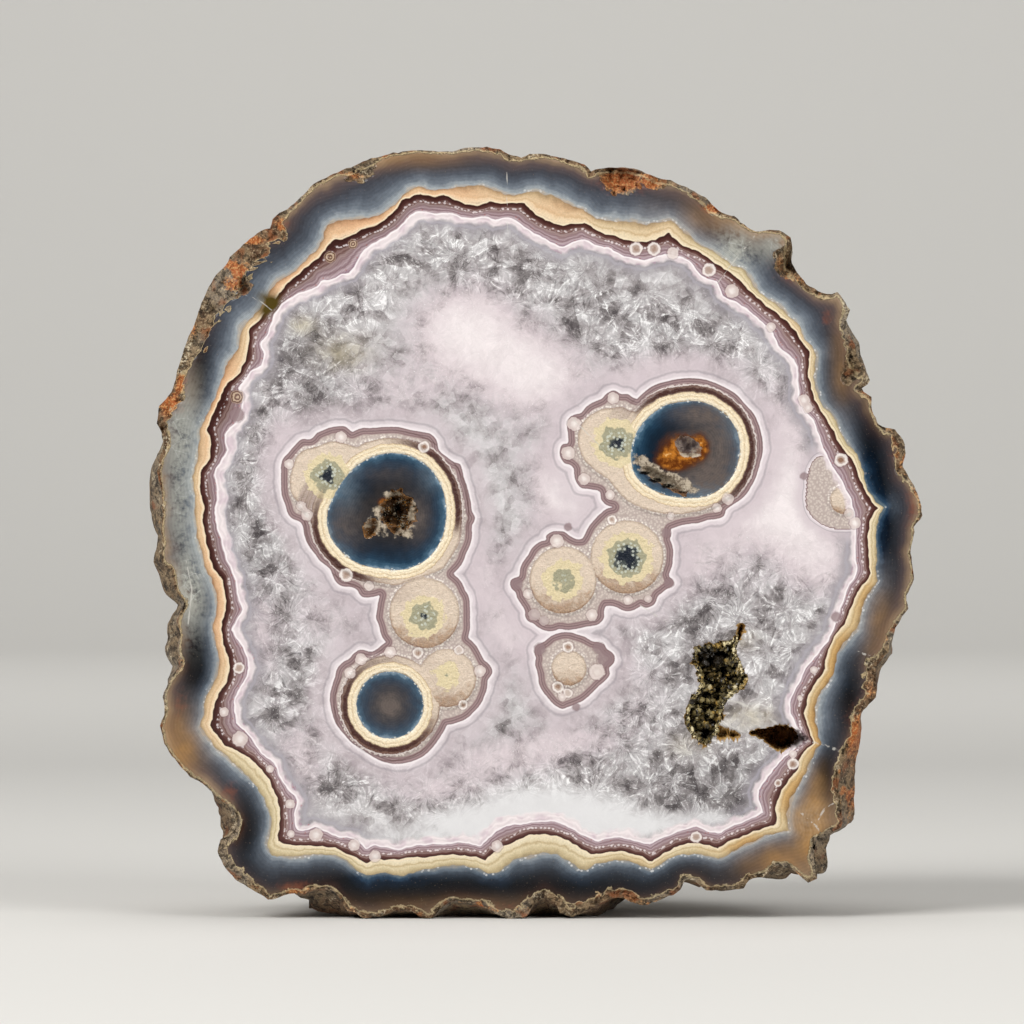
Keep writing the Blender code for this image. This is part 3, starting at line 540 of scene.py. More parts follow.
class StoneSettings(bpy.types.PropertyGroup):
    """Sizes and colours of the stone."""
    cells: IntProperty(name="Cells", description="Squares across the middle of the face", default=148,
                       min=40, max=160)
    chips: FloatProperty(name="Edge chips", description="Height of the chips along the face's edge",
                         default=0.00013, subtype="DISTANCE", unit="LENGTH", min=0.0, max=0.001)
    crust_relief: FloatProperty(name="Husk relief", description="Height of the husk's fine relief",
                                default=0.00035, subtype="DISTANCE", unit="LENGTH", min=0.0, max=0.002)
    polish: FloatProperty(name="Polish roughness", description="Roughness of the polished face",
                          default=0.09, subtype="FACTOR", min=0.0, max=1.0)
    milk: colour_property("Milk", "Milky chalcedony", "a6a79f")
    amber: colour_property("Amber", "Amber tint of the chalcedony", "9a7445")
    rust: colour_property("Rust", "Iron stains", "b0602f")
    blush: colour_property("Blush", "White pink band", "e6dcde")
    lavender: colour_property("Lavender", "Lavender grey band", "959096")
    shade: colour_property("Shade", "Dark gaps in the quartz", "544e50")
    snow: colour_property("Snow", "White feathers and flecks", "ededee")
    cloud: colour_property("Cloud", "Pinkish clouds", "cfc3c8")
    beige: colour_property("Beige", "Round growths", "d2c1b0")
    grain: colour_property("Grain", "Granular brown of the growths", "8d6f57")
    yellow: colour_property("Yellow", "Yellow rings", "dccda8")
    green: colour_property("Green", "Grey-green rings", "a09d84")
    slate: colour_property("Slate", "Dark hearts of the growths", "26323a")
    husk: colour_property("Husk", "Rough husk", "8a755a")
    husk_dark: colour_property("Husk pits", "Pits of the husk", "1d1712")


class DruseSettings(bpy.types.PropertyGroup):
    """Sizes and colours of the cavity's crystals."""
    grains: IntProperty(name="Grains", description="Number of small crystals", default=4600, min=100,
                        max=6000)
    grain_size: FloatProperty(name="Grain size", description="Radius of a small crystal",
                              default=0.00015, subtype="DISTANCE", unit="LENGTH", min=0.00005,
                              max=0.001)
    dark: colour_property("Dark grain", "Darkest grains", "1c160e")
    olive: colour_property("Olive grain", "Olive grains", "8d7f55")
    pale: colour_property("Pale grain", "Palest grains", "d6c9a0")


class StageSettings(bpy.types.PropertyGroup):
    """Floor, light and camera."""
    floor: colour_property("Floor", "Colour of the floor and backdrop", "d9d8d5")
    distance: FloatProperty(name="Camera distance", description="From the camera to the face",
                            default=0.62, subtype="DISTANCE", unit="LENGTH", min=0.1, max=3.0)
    brightness: FloatProperty(name="Brightness", description="Strength of the studio light",
                              default=1.0, min=0.0, max=5.0)


def on_face(place, depth=0.0):
    """A pixel of the photograph as a point in metres, at a depth behind the polished face."""
    x = (place[0] - CENTRE_PX[0]) * PIXEL
    z = (GROUND_PX - place[1]) * PIXEL
    return Vector((x, FACE_Y + depth, z))


def smooth_step(low, high, value):
    """Rise from 0 to 1 between two limits, without a corner."""
    t = min(max((value - low) / (high - low), 0.0), 1.0)
    return t * t * (3 - 2 * t)


def smooth_steps(low, high, values):
    """The same rise for an array."""
    t = np.clip((values - low) / (high - low), 0, 1)
    return t * t * (3 - 2 * t)


def curve_through(places, steps=3):
    """A closed curve through the places, with a corner where a place has a third number."""
    points = np.array([place[:2] for place in places], float)
    sharp = np.array([len(place) > 2 for place in places])
    before, after = np.roll(points, 1, 0), np.roll(points, -1, 0)
    slope = (after - before) / 2
    slope[sharp] = 0
    out = []
    for step in range(steps):
        t = step / steps
        h = (2 * t**3 - 3 * t**2 + 1, t**3 - 2 * t**2 + t, -2 * t**3 + 3 * t**2, t**3 - t**2)
        out.append(h[0] * points + h[1] * slope + h[2] * after + h[3] * np.roll(slope, -1, 0))
    return np.stack(out, 1).reshape(-1, 2)


def to_line(points, line, closed=True):
    """Distance from each point to a line, and how far along it the nearest place is, 0 to 1."""
    start = line if closed else line[:-1]
    end = np.roll(line, -1, 0) if closed else line[1:]
    reach = np.linalg.norm(end - start, axis=1)
    travelled = np.concatenate([[0], np.cumsum(reach)])
    best = np.full(len(points), 1e9)
    along = np.zeros(len(points))
    for index in range(len(start)):
        step = end[index] - start[index]
        size = max(step @ step, 1e-12)
        offset = points - start[index]
        t = np.clip(offset @ step / size, 0, 1)
        gap = (offset[:, 0] - t * step[0]) ** 2 + (offset[:, 1] - t * step[1]) ** 2
        nearer = gap < best
        best[nearer] = gap[nearer]
        along[nearer] = travelled[index] + t[nearer] * reach[index]
    return np.sqrt(best), along / travelled[-1]


def is_inside(points, outline):
    """Whether each point lies inside a closed outline."""
    inside = np.zeros(len(points), bool)
    for (x0, y0), (x1, y1) in zip(outline, np.roll(outline, -1, 0)):
        if y0 == y1:
            continue
        crosses = (y0 > points[:, 1]) != (y1 > points[:, 1])
        inside ^= crosses & (points[:, 0] < (x1 - x0) * (points[:, 1] - y0) / (y1 - y0) + x0)
    return inside


def depth_in(points, outline):
    """Signed distance from an outline, positive inside."""
    gap, along = to_line(points, outline)
    return np.where(is_inside(points, outline), gap, -gap), along


def depth_near(points, outline, margin=40):
    """The same as depth_in, worked out only near the outline."""
    low, high = outline.min(0) - margin, outline.max(0) + margin
    near = ((points > low) & (points < high)).all(1)
    depth = np.full(len(points), -float(margin))
    depth[near] = depth_in(points[near], outline)[0]
    return np.maximum(depth, -margin)


def distance(points, centre):
    """How far each point is from a centre."""
    return np.linalg.norm(points - np.array(centre), axis=1)


def patches(points, places):
    """Sum of soft patches."""
    total = np.zeros(len(points))
    for x, y, across, down, strength in places:
        away = ((points - (x, y)) / (across, down)) ** 2
        total += strength * np.exp(-away.sum(1))
    return np.minimum(total, 1.5)


def rough_noise(points, size, seed, rough=0.6, octaves=4):
    """Fractal noise at each point, with features of about this many pixels."""
    return np.array([noise.fractal(Vector((x / size, y / size, seed)), rough, 2.1, octaves)
                     for x, y in points])


def add_object(name, bm, surfaces):
    """Put a bmesh into the scene as one finished piece of the stone."""
    mesh = bpy.data.meshes.new(name)
    bm.to_mesh(mesh)
    bm.free()
    obj = bpy.data.objects.new(name, mesh)
    bpy.context.scene.collection.objects.link(obj)
    for surface in surfaces:
        mesh.materials.append(surface)
    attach(obj, "root")
    return obj


def extrude_loop(bm, loop, points):
    """Extrude a loop of vertices and lay the new one on the points, in the same order."""
    edges = [bm.edges.get((here, there)) for here, there in zip(loop, loop[1:] + loop[:1])]
    grown = bmesh.ops.extrude_edge_only(bm, edges=edges)["geom"]
    fresh = {item for item in grown if isinstance(item, bmesh.types.BMVert)}
    upper = []
    for vert, point in zip(loop, points):
        twin = next(e.other_vert(vert) for e in vert.link_edges if e.other_vert(vert) in fresh)
        twin.co = point
        upper.append(twin)
    return upper


def ray_radii(outline, angles):
    """How far the outline lies from the centre in each direction."""
    spokes = outline - np.array(CENTRE_PX)
    turn = np.unwrap(np.arctan2(spokes[:, 1], spokes[:, 0]))
    radius = np.linalg.norm(spokes, axis=1)
    turn = np.concatenate([turn - math.tau, turn, turn + math.tau, turn + 2 * math.tau])
    radius = np.tile(radius, 4)
    order = np.argsort(turn)
    return np.interp(angles, turn[order], radius[order])


def edge_columns(count):
    """Points of the face's edge in pixels, one for each column, roughly at even angles."""
    line = np.array(FACE_EDGE_PX, float)
    line = np.vstack([line, line[:1]])
    fine = [line[0]]
    for here, there in zip(line[:-1], line[1:]):
        fine.extend(here + (there - here) * step / 8 for step in range(1, 9))
    fine = np.array(fine)
    spokes = fine - np.array(CENTRE_PX)
    turn = np.unwrap(np.arctan2(spokes[:, 1], spokes[:, 0]))
    length = np.concatenate([[0], np.cumsum(np.linalg.norm(np.diff(fine, axis=0), axis=1))])
    by_length = turn[0] + length / length[-1] * math.tau
    blend = np.maximum.accumulate(0.45 * turn + 0.55 * by_length + np.arange(len(fine)) * 1e-9)
    angles = np.arange(count) * math.tau / count
    wrapped = (angles - blend[0]) % math.tau + blend[0]
    return np.stack([np.interp(wrapped, blend, fine[:, 0]), np.interp(wrapped, blend, fine[:, 1])], 1)


def chipped(points, height):
    """Small irregular chips along the face's edge."""
    push = rough_noise(points, 9, 0, 0.7) * height / PIXEL
    away = points - np.array(CENTRE_PX, float)
    return points + away / np.linalg.norm(away, axis=1)[:, None] * push[:, None]


def evened(points, spread):
    """The same loop of points without its small chips and notches."""
    weights = np.array([spread + 1 - abs(step) for step in range(-spread, spread + 1)], float)
    total = sum(np.roll(points, step, 0) * weight
                for step, weight in zip(range(-spread, spread + 1), weights))
    return total / weights.sum()


def foot_window(edge_point):
    """1 along the part of the lower edge that the stone stands on, 0 elsewhere."""
    left = (FOOT_LEFT_PX - CENTRE_PX[0]) * PIXEL
    right = (FOOT_RIGHT_PX - CENTRE_PX[0]) * PIXEL
    soft = 0.0035
    inside = smooth_step(left - soft, left + soft, edge_point.x)
    inside *= 1 - smooth_step(right - soft, right + soft, edge_point.x)
    return inside * (1 - smooth_step(0.004, 0.006, edge_point.z))


def swell_at(edge_point):
    """How far the husk behind this point of the edge swells past it."""
    reach = 0.0
    for place, width, height in HUSK_SWELLS_PX:
        away = (edge_point - on_face(place)).length / (width * PIXEL)
        reach = max(reach, height * PIXEL * math.exp(-away * away))
    return reach


def lumps(point, depth, relief):
    """Height of the husk's lumps, knobs and fine relief at a point, none at the polished face."""
    broad = noise.noise(point / LUMP_SIZE) * LUMP_HEIGHT
    nearest = noise.voronoi(point / KNOB_SIZE)[0][0]
    knob = (0.42 - nearest) * KNOB_HEIGHT
    fine = noise.fractal(point / GRAIN_SIZE, 0.6, 2.2, 4) * relief
    pimple = (0.5 - noise.voronoi(point / PIMPLE_SIZE)[0][0]) * relief * 1.6
    return (broad + knob + fine + pimple) * smooth_step(0.0005, 0.006, depth)


def husk_point(edge_point, even_point, share, start_depth, relief):
    """The point of the dome that lies behind a point of the face's edge, share 0 to 1 of the way."""
    turn = math.pi / 2 * (share - RING_GRADING * math.sin(math.tau * share))
    middle = on_face(CENTRE_PX)
    outward = (edge_point - middle).normalized()
    below = max(0.0, -outward.z)
    roundness = DOME_ROUNDNESS + FOOT_SQUARENESS * below ** 3
    drawn_in = math.cos(turn) ** (2 / roundness)
    depth = NODULE_DEPTH * math.sin(turn) ** (2 / roundness)
    depth = start_depth + depth * (1 - start_depth / NODULE_DEPTH)
    base = edge_point.lerp(even_point, smooth_step(0.0, EVENED_DEPTH, depth))
    point = middle + (base - middle) * drawn_in + Vector((0, depth, 0))
    behind_edge = smooth_step(0.0, 0.0025, depth) * (1 - smooth_step(0.004, 0.020, depth))
    swell = swell_at(edge_point) * behind_edge
    point += outward * swell
    foot = smooth_step(0.0, 0.0016, depth) * (1 - smooth_step(FOOT_DEPTH, FOOT_DEPTH + 0.008, depth))
    point.z -= FOOT_REACH * foot_window(edge_point) * foot
    bulge_direction = (point - middle).normalized()
    point += bulge_direction * lumps(point, depth, relief)
    reach = outward.dot(point - middle)
    past_edge = reach - (outward.dot(edge_point - middle) + swell)
    if past_edge > 0 and not foot_window(edge_point):
        point -= outward * past_edge
    point.z = max(point.z, 0.0)
    point.y = min(point.y, FACE_Y + NODULE_DEPTH)
    return point


def disc_grid(bm, cells, radii):
    """A square grid drawn into a disc whose edge follows the radii. Returns its edge, in order."""
    bmesh.ops.create_grid(bm, x_segments=cells, y_segments=cells, size=1.0)
    count = len(radii)
    edge = []
    for vert in bm.verts:
        a, b = vert.co.x, vert.co.y
        size = max(abs(a), abs(b))
        if size < 1e-9:
            angle = 0.0
        elif abs(a) >= abs(b):
            angle = math.pi / 4 * b / a + (math.pi if a < 0 else 0)
        else:
            angle = math.pi / 2 - math.pi / 4 * a / b + (math.pi if b < 0 else 0)
        angle %= math.tau
        place = angle / math.tau * count
        low = int(place) % count
        radius = radii[low] + (radii[(low + 1) % count] - radii[low]) * (place % 1)
        vert.co = on_face((CENTRE_PX[0] + math.cos(angle) * radius * size,
                           CENTRE_PX[1] + math.sin(angle) * radius * size))
        if size > 1 - 1e-6:
            edge.append((angle, vert))
    edge.sort(key=lambda pair: round(pair[0], 7))
    return [vert for _, vert in edge]


def husk_reach_at(along):
    """How far the rough husk reaches in from the edge, by the share of the way round it."""
    line = np.array(FACE_EDGE_PX, float)
    places = np.array([place for place, _ in HUSK_REACH_PX], float)
    _, stops = to_line(places, line)
    widths = np.array([width for _, width in HUSK_REACH_PX], float)
    order = np.argsort(stops)
    return np.interp(along, stops[order], widths[order], period=1.0)


def hollow_depths(points):
    """How deep the chips and hollows of the face are at each point, in metres."""
    deep = np.zeros(len(points))
    for centre, radii, turn, depth in HOLLOWS_PX:
        spin = math.radians(turn)
        offset = points - centre
        across = (offset[:, 0] * math.cos(spin) + offset[:, 1] * math.sin(spin)) / radii[0]
        down = (-offset[:, 0] * math.sin(spin) + offset[:, 1] * math.cos(spin)) / radii[1]
        share = 1 - across ** 2 - down ** 2
        near = np.flatnonzero(share > -0.8)
        share[near] += rough_noise(points[near], 6, turn, octaves=3) * 0.42
        deep = np.maximum(deep, depth * np.sqrt(np.clip(share, 0, 1)))
    return deep


def cavity_depths(points):
    """How deep the rough cavity, the slot and the gap are at each point, in metres."""
    deep = np.zeros(len(points))
    for places, depth, width in CAVITIES_PX:
        inside = depth_near(points, curve_through(places, 2), 20)
        near = np.flatnonzero(inside > -6)
        inside[near] += rough_noise(points[near], 5, 6) * min(width * 0.4, 3.0)
        deep = np.maximum(deep, depth * smooth_steps(-0.6, width, inside))
    return deep


def rough_border(points):
    """How far each point lies inside the rough border and inside the edge, and the border's noise."""
    edge, along = depth_in(points, np.array(FACE_EDGE_PX, float))
    ragged = rough_noise(points, 6, 3, 0.7)
    return husk_reach_at(along) * (1 + 0.5 * ragged) - edge, edge, ragged


def flat_vertices(bm):
    """The vertices that lie in the polished face, and their places in pixels."""
    flat = [vert for vert in bm.verts if abs(vert.co.y - FACE_Y) < 1e-7]
    return flat, np.array([(vert.co.x / PIXEL + CENTRE_PX[0], GROUND_PX - vert.co.z / PIXEL)
                           for vert in flat])


def add_field(mesh, name, values):
    """Store one number for each vertex."""
    field = mesh.attributes.new(name, "FLOAT", "POINT")
    field.data.foreach_set("value", np.asarray(values, np.float32))


def refine(bm, wanted):
    """Halve the squares of the flat face wherever the wanted test holds for a corner."""
    flat, spots = flat_vertices(bm)
    chosen = {vert for vert, keep in zip(flat, wanted(spots)) if keep}
    faces = [face for face in bm.faces
             if all(vert in chosen and not vert.is_boundary for vert in face.verts)]
    edges = list(dict.fromkeys(edge for face in faces for edge in face.edges))
    bmesh.ops.subdivide_edges(bm, edges=edges, cuts=1, use_grid_fill=True)


def near_eyes(points):
    """Whether each point lies in or close to a ringed eye, a bubble or a cavity."""
    keep = np.zeros(len(points), bool)
    for places in (EYES_LEFT_PX, EYES_RIGHT_PX, SHIELD_PX, HALF_DISC_PX,
                   VUG_EDGE_PX, SLOT_EDGE_PX, WINDOW_EDGE_PX):
        outline = np.array([place[:2] for place in places], float)
        keep |= depth_near(points, outline, 30) > -5
    for centre, radius, _ in BUBBLES_PX:
        keep |= distance(points, centre) < radius + 5
    return keep


def near_cracks(points):
    """Whether each point lies close to a crack."""
    keep = np.zeros(len(points), bool)
    for line, _ in CRACKS_PX:
        keep |= to_line(points, np.array(line, float), closed=False)[0] < 4
    return keep


def face_disc(bm, cells, edge):
    """The flat face, a square grid in the middle and rings round it. Returns its edge, in order."""
    angles = np.arange(len(edge)) * math.tau / len(edge)
    cream = evened(ray_radii(curve_through(CREAM_OUTSIDE_PX), angles)[:, None], 8)[:, 0]
    loop = disc_grid(bm, cells, cream - BAND_START_PX)
    spokes = np.stack([np.cos(angles), np.sin(angles)], 1)
    rings = [cream - BAND_START_PX + BAND_WIDTH_PX * step / BAND_RINGS
             for step in range(1, BAND_RINGS + 1)]
    for radii in rings:
        spots = np.array(CENTRE_PX) + spokes * radii[:, None]
        loop = extrude_loop(bm, loop, [on_face(spot) for spot in spots])
    start = np.array(CENTRE_PX) + spokes * rings[-1][:, None]
    outer = []
    for step in range(1, EDGE_RINGS + 1):
        spots = start + (edge - start) * step / EDGE_RINGS
        loop = extrude_loop(bm, loop, [on_face(spot) for spot in spots])
        outer.extend(loop if step < EDGE_RINGS else [])
    for _ in range(6):
        bmesh.ops.smooth_vert(bm, verts=outer, factor=0.5, use_axis_x=True, use_axis_z=True)
    return loop


def husk_dome(bm, loop, edge, relief):
    """The lumpy husk, in rings from the face's edge to the middle of the back."""
    edge_points = [vert.co.copy() for vert in loop]
    even_points = [on_face(spot) for spot in evened(edge, len(edge) // 24)]
    reach = husk_reach_at(to_line(edge, np.array(FACE_EDGE_PX, float))[1])
    start_depths = [0.0002 + BORDER_SLOPE * PIXEL * min(width, BORDER_LIMIT_PX) for width in reach]
    for ring in range(1, HUSK_RINGS):
        spots = [husk_point(here, even, ring / HUSK_RINGS, deep, relief)
                 for here, even, deep in zip(edge_points, even_points, start_depths)]
        loop = extrude_loop(bm, loop, spots)
    apex = Vector((on_face(CENTRE_PX).x, FACE_Y + NODULE_DEPTH, on_face(CENTRE_PX).z))
    loop = extrude_loop(bm, loop, [vert.co.copy() for vert in loop])
    bmesh.ops.pointmerge(bm, verts=loop, merge_co=apex)
    near_apex = [vert for vert in bm.verts if (vert.co - apex).length < 0.006]
    bmesh.ops.remove_doubles(bm, verts=near_apex, dist=0.00025)


def stone_mesh(settings):
    """The half nodule: polished face, chipped edge, lumpy husk and flat foot."""
    bm = bmesh.new()
    edge = chipped(edge_columns(settings.cells * 4), settings.chips)
    loop = face_disc(bm, settings.cells, edge)
    bm.verts.index_update()
    numbers = [vert.index for vert in loop]
    refine(bm, near_eyes)
    refine(bm, near_cracks)
    bm.verts.ensure_lookup_table()
    husk_dome(bm, [bm.verts[number] for number in numbers], edge, settings.crust_relief)
    return bm


def carve_face(bm):
    """Sink the hollows, the cavity and the rough border into the flat face, then mark the husk."""
    flat, spots = flat_vertices(bm)
    rough, _, ragged = rough_border(spots)
    slope = smooth_steps(-0.5, 1.0, rough) * np.clip(rough, 0, BORDER_LIMIT_PX) * BORDER_SLOPE * PIXEL
    bumps = rough_noise(spots, 4, 8)
    slope += smooth_steps(0.5, 4, rough) * (0.25 + bumps) * 0.00035
    hollow = hollow_depths(spots)
    hollow *= 1 + 0.25 * ragged
    cavity = cavity_depths(spots) * (1 + 0.12 * bumps)
    deep = np.maximum(np.maximum(slope, hollow), cavity)
    for vert, down in zip(flat, deep):
        vert.co.y += max(float(down), 0.0)
    face_verts = set(flat)
    for face in bm.faces:
        on_front = all(vert in face_verts for vert in face.verts)
        face.material_index = 0 if on_front else 3
        face.smooth = True
    bmesh.ops.recalc_face_normals(bm, faces=bm.faces)


def growth_fields(points):
    """Fields of the ringed eyes: coat, growth edge, core, heart rings and brown side."""
    coat = np.full(len(points), -40.0)
    for places in (EYES_LEFT_PX, EYES_RIGHT_PX, SHIELD_PX):
        coat = np.maximum(coat, depth_near(points, curve_through(places)))
    half = depth_near(points, curve_through(HALF_DISC_PX))
    coat = np.maximum(coat, np.where(half > 0, half + 8, half * 2))
    growth = np.full(len(points), -40.0)
    brown = np.zeros(len(points))
    for places in (GROWTH_A_PX, GROWTH_B_PX):
        growth = np.maximum(growth, depth_near(points, curve_through(places)))
    for centre, radius in ROUND_GROWTHS_PX:
        depth = radius - distance(points, centre)
        brown = np.where(depth > growth, (points[:, 1] - centre[1]) / radius, brown)
        growth = np.maximum(growth, depth)
    core = ROUND_CORE_PX[1] - distance(points, ROUND_CORE_PX[0])
    for places in (CORE_A_PX, CORE_B_PX):
        core = np.maximum(core, depth_near(points, curve_through(places), 60))
    heart = np.full(len(points), -1.0)
    for centre, yellow, green, dark in HEARTS_PX:
        stops = [0, max(dark, 0.1), max(green, 0.2), yellow, yellow + 12]
        middle = (3, 2) if dark else (2, 1.6) if green else (1, 1)
        heart = np.maximum(heart, np.interp(distance(points, centre), stops, [*middle, 1, 0, -1]))
    return coat, growth, core, heart, brown


def crescent_field(points):
    """How maroon the edge of the large eyes is: dark crescents at their upper right and lower left."""
    out = np.zeros(len(points))
    for centre, reach, angles, values in CRESCENTS_PX:
        offset = points - np.array(centre)
        angle = np.degrees(np.arctan2(offset[:, 1], offset[:, 0]))
        value = np.interp(angle, angles, values)
        out = np.where(distance(points, centre) < reach, np.maximum(out, value), out)
    return out


def bubble_fields(points):
    """Distance from the nearest bubble's middle in its radii, and how brown that middle is."""
    best = np.full(len(points), 4.0)
    heart = np.zeros(len(points))
    for centre, radius, brown in BUBBLES_PX:
        share = distance(points, centre) / radius
        nearer = share < best
        best[nearer] = share[nearer]
        heart[nearer] = brown
    return best, heart


def store_fields(mesh):
    """What the face's materials read: distances from the contours, in pixels, and soft patches."""
    places = np.zeros(len(mesh.vertices) * 3, np.float32)
    mesh.vertices.foreach_get("co", places)
    places = places.reshape(-1, 3).astype(float)
    points = np.stack([places[:, 0] / PIXEL + CENTRE_PX[0], GROUND_PX - places[:, 2] / PIXEL], 1)
    wall, inner, pale = (depth_in(points, curve_through(line, 2))[0]
                         for line in (CREAM_OUTSIDE_PX, CREAM_INSIDE_PX, MAUVE_INSIDE_PX))
    rough, edge, _ = rough_border(points)
    coat, growth, core, heart, brown = growth_fields(points)
    bubble, bubble_heart = bubble_fields(points)
    crack = np.full(len(points), 9.0)
    for line, strength in CRACKS_PX:
        gap = to_line(points, np.array(line, float), closed=False)[0]
        crack = np.minimum(crack, gap / strength)
    fields = {
        "wall": wall, "inner": inner, "pale": pale, "rough": rough,
        "rim": np.clip(edge / np.maximum(edge - wall, 1), 0, 1),
        "sunk": (places[:, 1] - FACE_Y) / PIXEL,
        "coat": coat, "growth": growth, "core": core, "heart": heart, "brown": brown,
        "crescent": crescent_field(points), "bubble": bubble, "bubble_heart": bubble_heart,
        "crack": crack, "hollow": hollow_depths(points) / PIXEL, "cavity": cavity_depths(points) / PIXEL,
    }
    fields.update({name: patches(points, spots) for name, spots in PATCHES_PX.items()})
    for name, values in fields.items():
        add_field(mesh, name, values)
    share_out(mesh, pale, coat)


def share_out(mesh, pale, coat):
    """Give the quartz and the eyes their own materials, and leave the rest of the face to the rim's."""
    part = np.where(pale > 1.5, np.where(coat > -11, 2, 1), 0)
    for face in mesh.polygons:
        if face.material_index == 0:
            face.material_index = int(min(part[number] for number in face.vertices))
            if face.material_index and any(part[number] == 2 for number in face.vertices):
                face.material_index = 2


class Number:
    """A number that varies over a surface, built up from nodes."""

    def __init__(self, paint, socket):
        self.paint = paint
        self.socket = socket

    def __add__(self, other):
        return self.paint.math("ADD", self, other)

    def __radd__(self, other):
        return self.paint.math("ADD", other, self)

    def __sub__(self, other):
        return self.paint.math("SUBTRACT", self, other)

    def __rsub__(self, other):
        return self.paint.math("SUBTRACT", other, self)

    def __mul__(self, other):
        return self.paint.math("MULTIPLY", self, other)

    def __rmul__(self, other):
        return self.paint.math("MULTIPLY", other, self)

    def __truediv__(self, other):
        return self.paint.math("DIVIDE", self, other)

    def above(self, low, high):
        """0 below low, 1 above high."""
        return self.paint.step(self, low, high)

    def below(self, low, high):
        """1 below low, 0 above high."""
        return self.paint.step(self, low, high, falling=True)

    def between(self, low, high, soft=0.5):
        """1 between two limits, with soft edges."""
        return self.above(low - soft, low + soft) * self.below(high - soft, high + soft)


class Colour:
    """A colour that varies over a surface, built up in layers."""

    def __init__(self, paint, socket):
        self.paint = paint
        self.socket = socket

    def lay(self, top, amount):
        """Lay another colour over this one."""
        self.socket = self.paint.mix(self, top, amount).socket

    def dim(self, amount):
        """Multiply this colour by a number."""
        self.socket = self.paint.dim(self, amount).socket


class Paint:
    """A material whose nodes are written as sums. Lengths are in pixels of the photograph."""

    def __init__(self, name, flat=False):
        self.material = bpy.data.materials.new(name)
        self.material.use_nodes = True
        self.tree = self.material.node_tree
        self.shader = self.tree.nodes["Principled BSDF"]
        place = self.node("ShaderNodeTexCoord").outputs["Object"]
        self.place = self.vector("SCALE", place, scale=1 / PIXEL)
        self.dimensions = "3D"
        if flat:
            parts = self.node("ShaderNodeSeparateXYZ")
            self.plug(parts.inputs[0], self.place)
            joined = self.fill(self.node("ShaderNodeCombineXYZ"), X=parts.outputs[0], Y=parts.outputs[2])
            self.place = joined.outputs[0]
            self.dimensions = "2D"

    def node(self, kind, **settings):
        """A new node with its settings."""
        made = self.tree.nodes.new(kind)
        for key, value in settings.items():
            setattr(made, key, value)
        return made

    def plug(self, socket, value):
        """Link a socket, or set it where the value is plain or the code of a colour."""
        value = tone(value) if isinstance(value, str) else getattr(value, "socket", value)
        if isinstance(value, bpy.types.NodeSocket):
            self.tree.links.new(value, socket)
        elif hasattr(value, "__len__"):
            socket.default_value = tuple(value)[:len(socket.default_value)]
        else:
            socket.default_value = value

    def fill(self, made, **values):
        """Plug values into a node's inputs by name, and return the node."""
        for key, value in values.items():
            self.plug(made.inputs[key], value)
        return made

    def field(self, name):
        """A number stored on the mesh."""
        return Number(self, self.node("ShaderNodeAttribute", attribute_name=name).outputs["Fac"])

    def math(self, operation, first, second=0.0):
        """One step of arithmetic."""
        made = self.node("ShaderNodeMath", operation=operation)
        self.plug(made.inputs[0], first)
        self.plug(made.inputs[1], second)
        return Number(self, made.outputs[0])

    def vector(self, operation, first, second=None, scale=None):
        """One step of vector arithmetic."""
        made = self.node("ShaderNodeVectorMath", operation=operation)
        self.plug(made.inputs[0], first)
        if second is not None:
            self.plug(made.inputs[1], second)
        if scale is not None:
            self.plug(made.inputs["Scale"], scale)
        return made.outputs["Value"] if operation == "LENGTH" else made.outputs[0]

    def step(self, value, low, high, falling=False):
        """A smooth rise or fall between two limits."""
        made = self.node("ShaderNodeMapRange", interpolation_type="SMOOTHSTEP")
        start, end = (1.0, 0.0) if falling else (0.0, 1.0)
        self.fill(made, Value=value)
        self.fill(made, **{"From Min": low, "From Max": high, "To Min": start, "To Max": end})
        return Number(self, made.outputs["Result"])

    def noise(self, size, detail=3.0, rough=0.55, seed=0):
        """Noise with features of about this size, from 0 to 1."""
        made = self.node("ShaderNodeTexNoise", noise_dimensions=self.dimensions)
        place = self.place
        if seed:
            place = self.vector("ADD", place, (37.7 * seed, 91.3 * seed, 11.1 * seed))
        self.fill(made, Vector=place, Scale=1 / size, Detail=detail, Roughness=rough)
        return Number(self, made.outputs["Fac"])

    def voronoi(self, size, place=None, feature="F1"):
        """A pattern of cells of this size."""
        made = self.node("ShaderNodeTexVoronoi", feature=feature, voronoi_dimensions=self.dimensions)
        return self.fill(made, Vector=place or self.place, Scale=1 / size)

    def cells(self, size, place=None, feature="F1"):
        """Distance from the middle of the nearest cell, or from its edge, for cells of this size."""
        return Number(self, self.voronoi(size, place, feature).outputs["Distance"])

    def facets(self, size, place):
        """Flat patches of even grey, from 0 to 1."""
        parts = self.node("ShaderNodeSeparateXYZ")
        self.plug(parts.inputs[0], self.voronoi(size, place).outputs["Color"])
        return Number(self, parts.outputs[0])

    def sprays(self, size, needles, place, seed=0.0):
        """Needles that radiate from the middle of each cell, from 0 to 1."""
        moved = self.vector("ADD", place, (seed * 53.1, seed * 27.9, 0.0))
        cell = self.voronoi(size, moved)
        away = self.vector("SUBTRACT", moved, cell.outputs["Position"])
        ray = self.vector("SCALE", self.vector("NORMALIZE", away), scale=needles / math.tau)
        reach = self.vector("LENGTH", away)
        lift = self.node("ShaderNodeCombineXYZ")
        self.plug(lift.inputs[2], self.math("MULTIPLY", reach, 1 / NEEDLE_LENGTH_PX))
        spin = self.vector("SCALE", cell.outputs["Color"], scale=17.0)
        total = self.vector("ADD", self.vector("ADD", ray, lift.outputs[0]), spin)
        made = self.node("ShaderNodeTexNoise", noise_dimensions="3D")
        self.fill(made, Vector=total, Scale=1.0, Detail=3.0, Roughness=0.6)
        return Number(self, made.outputs["Fac"])

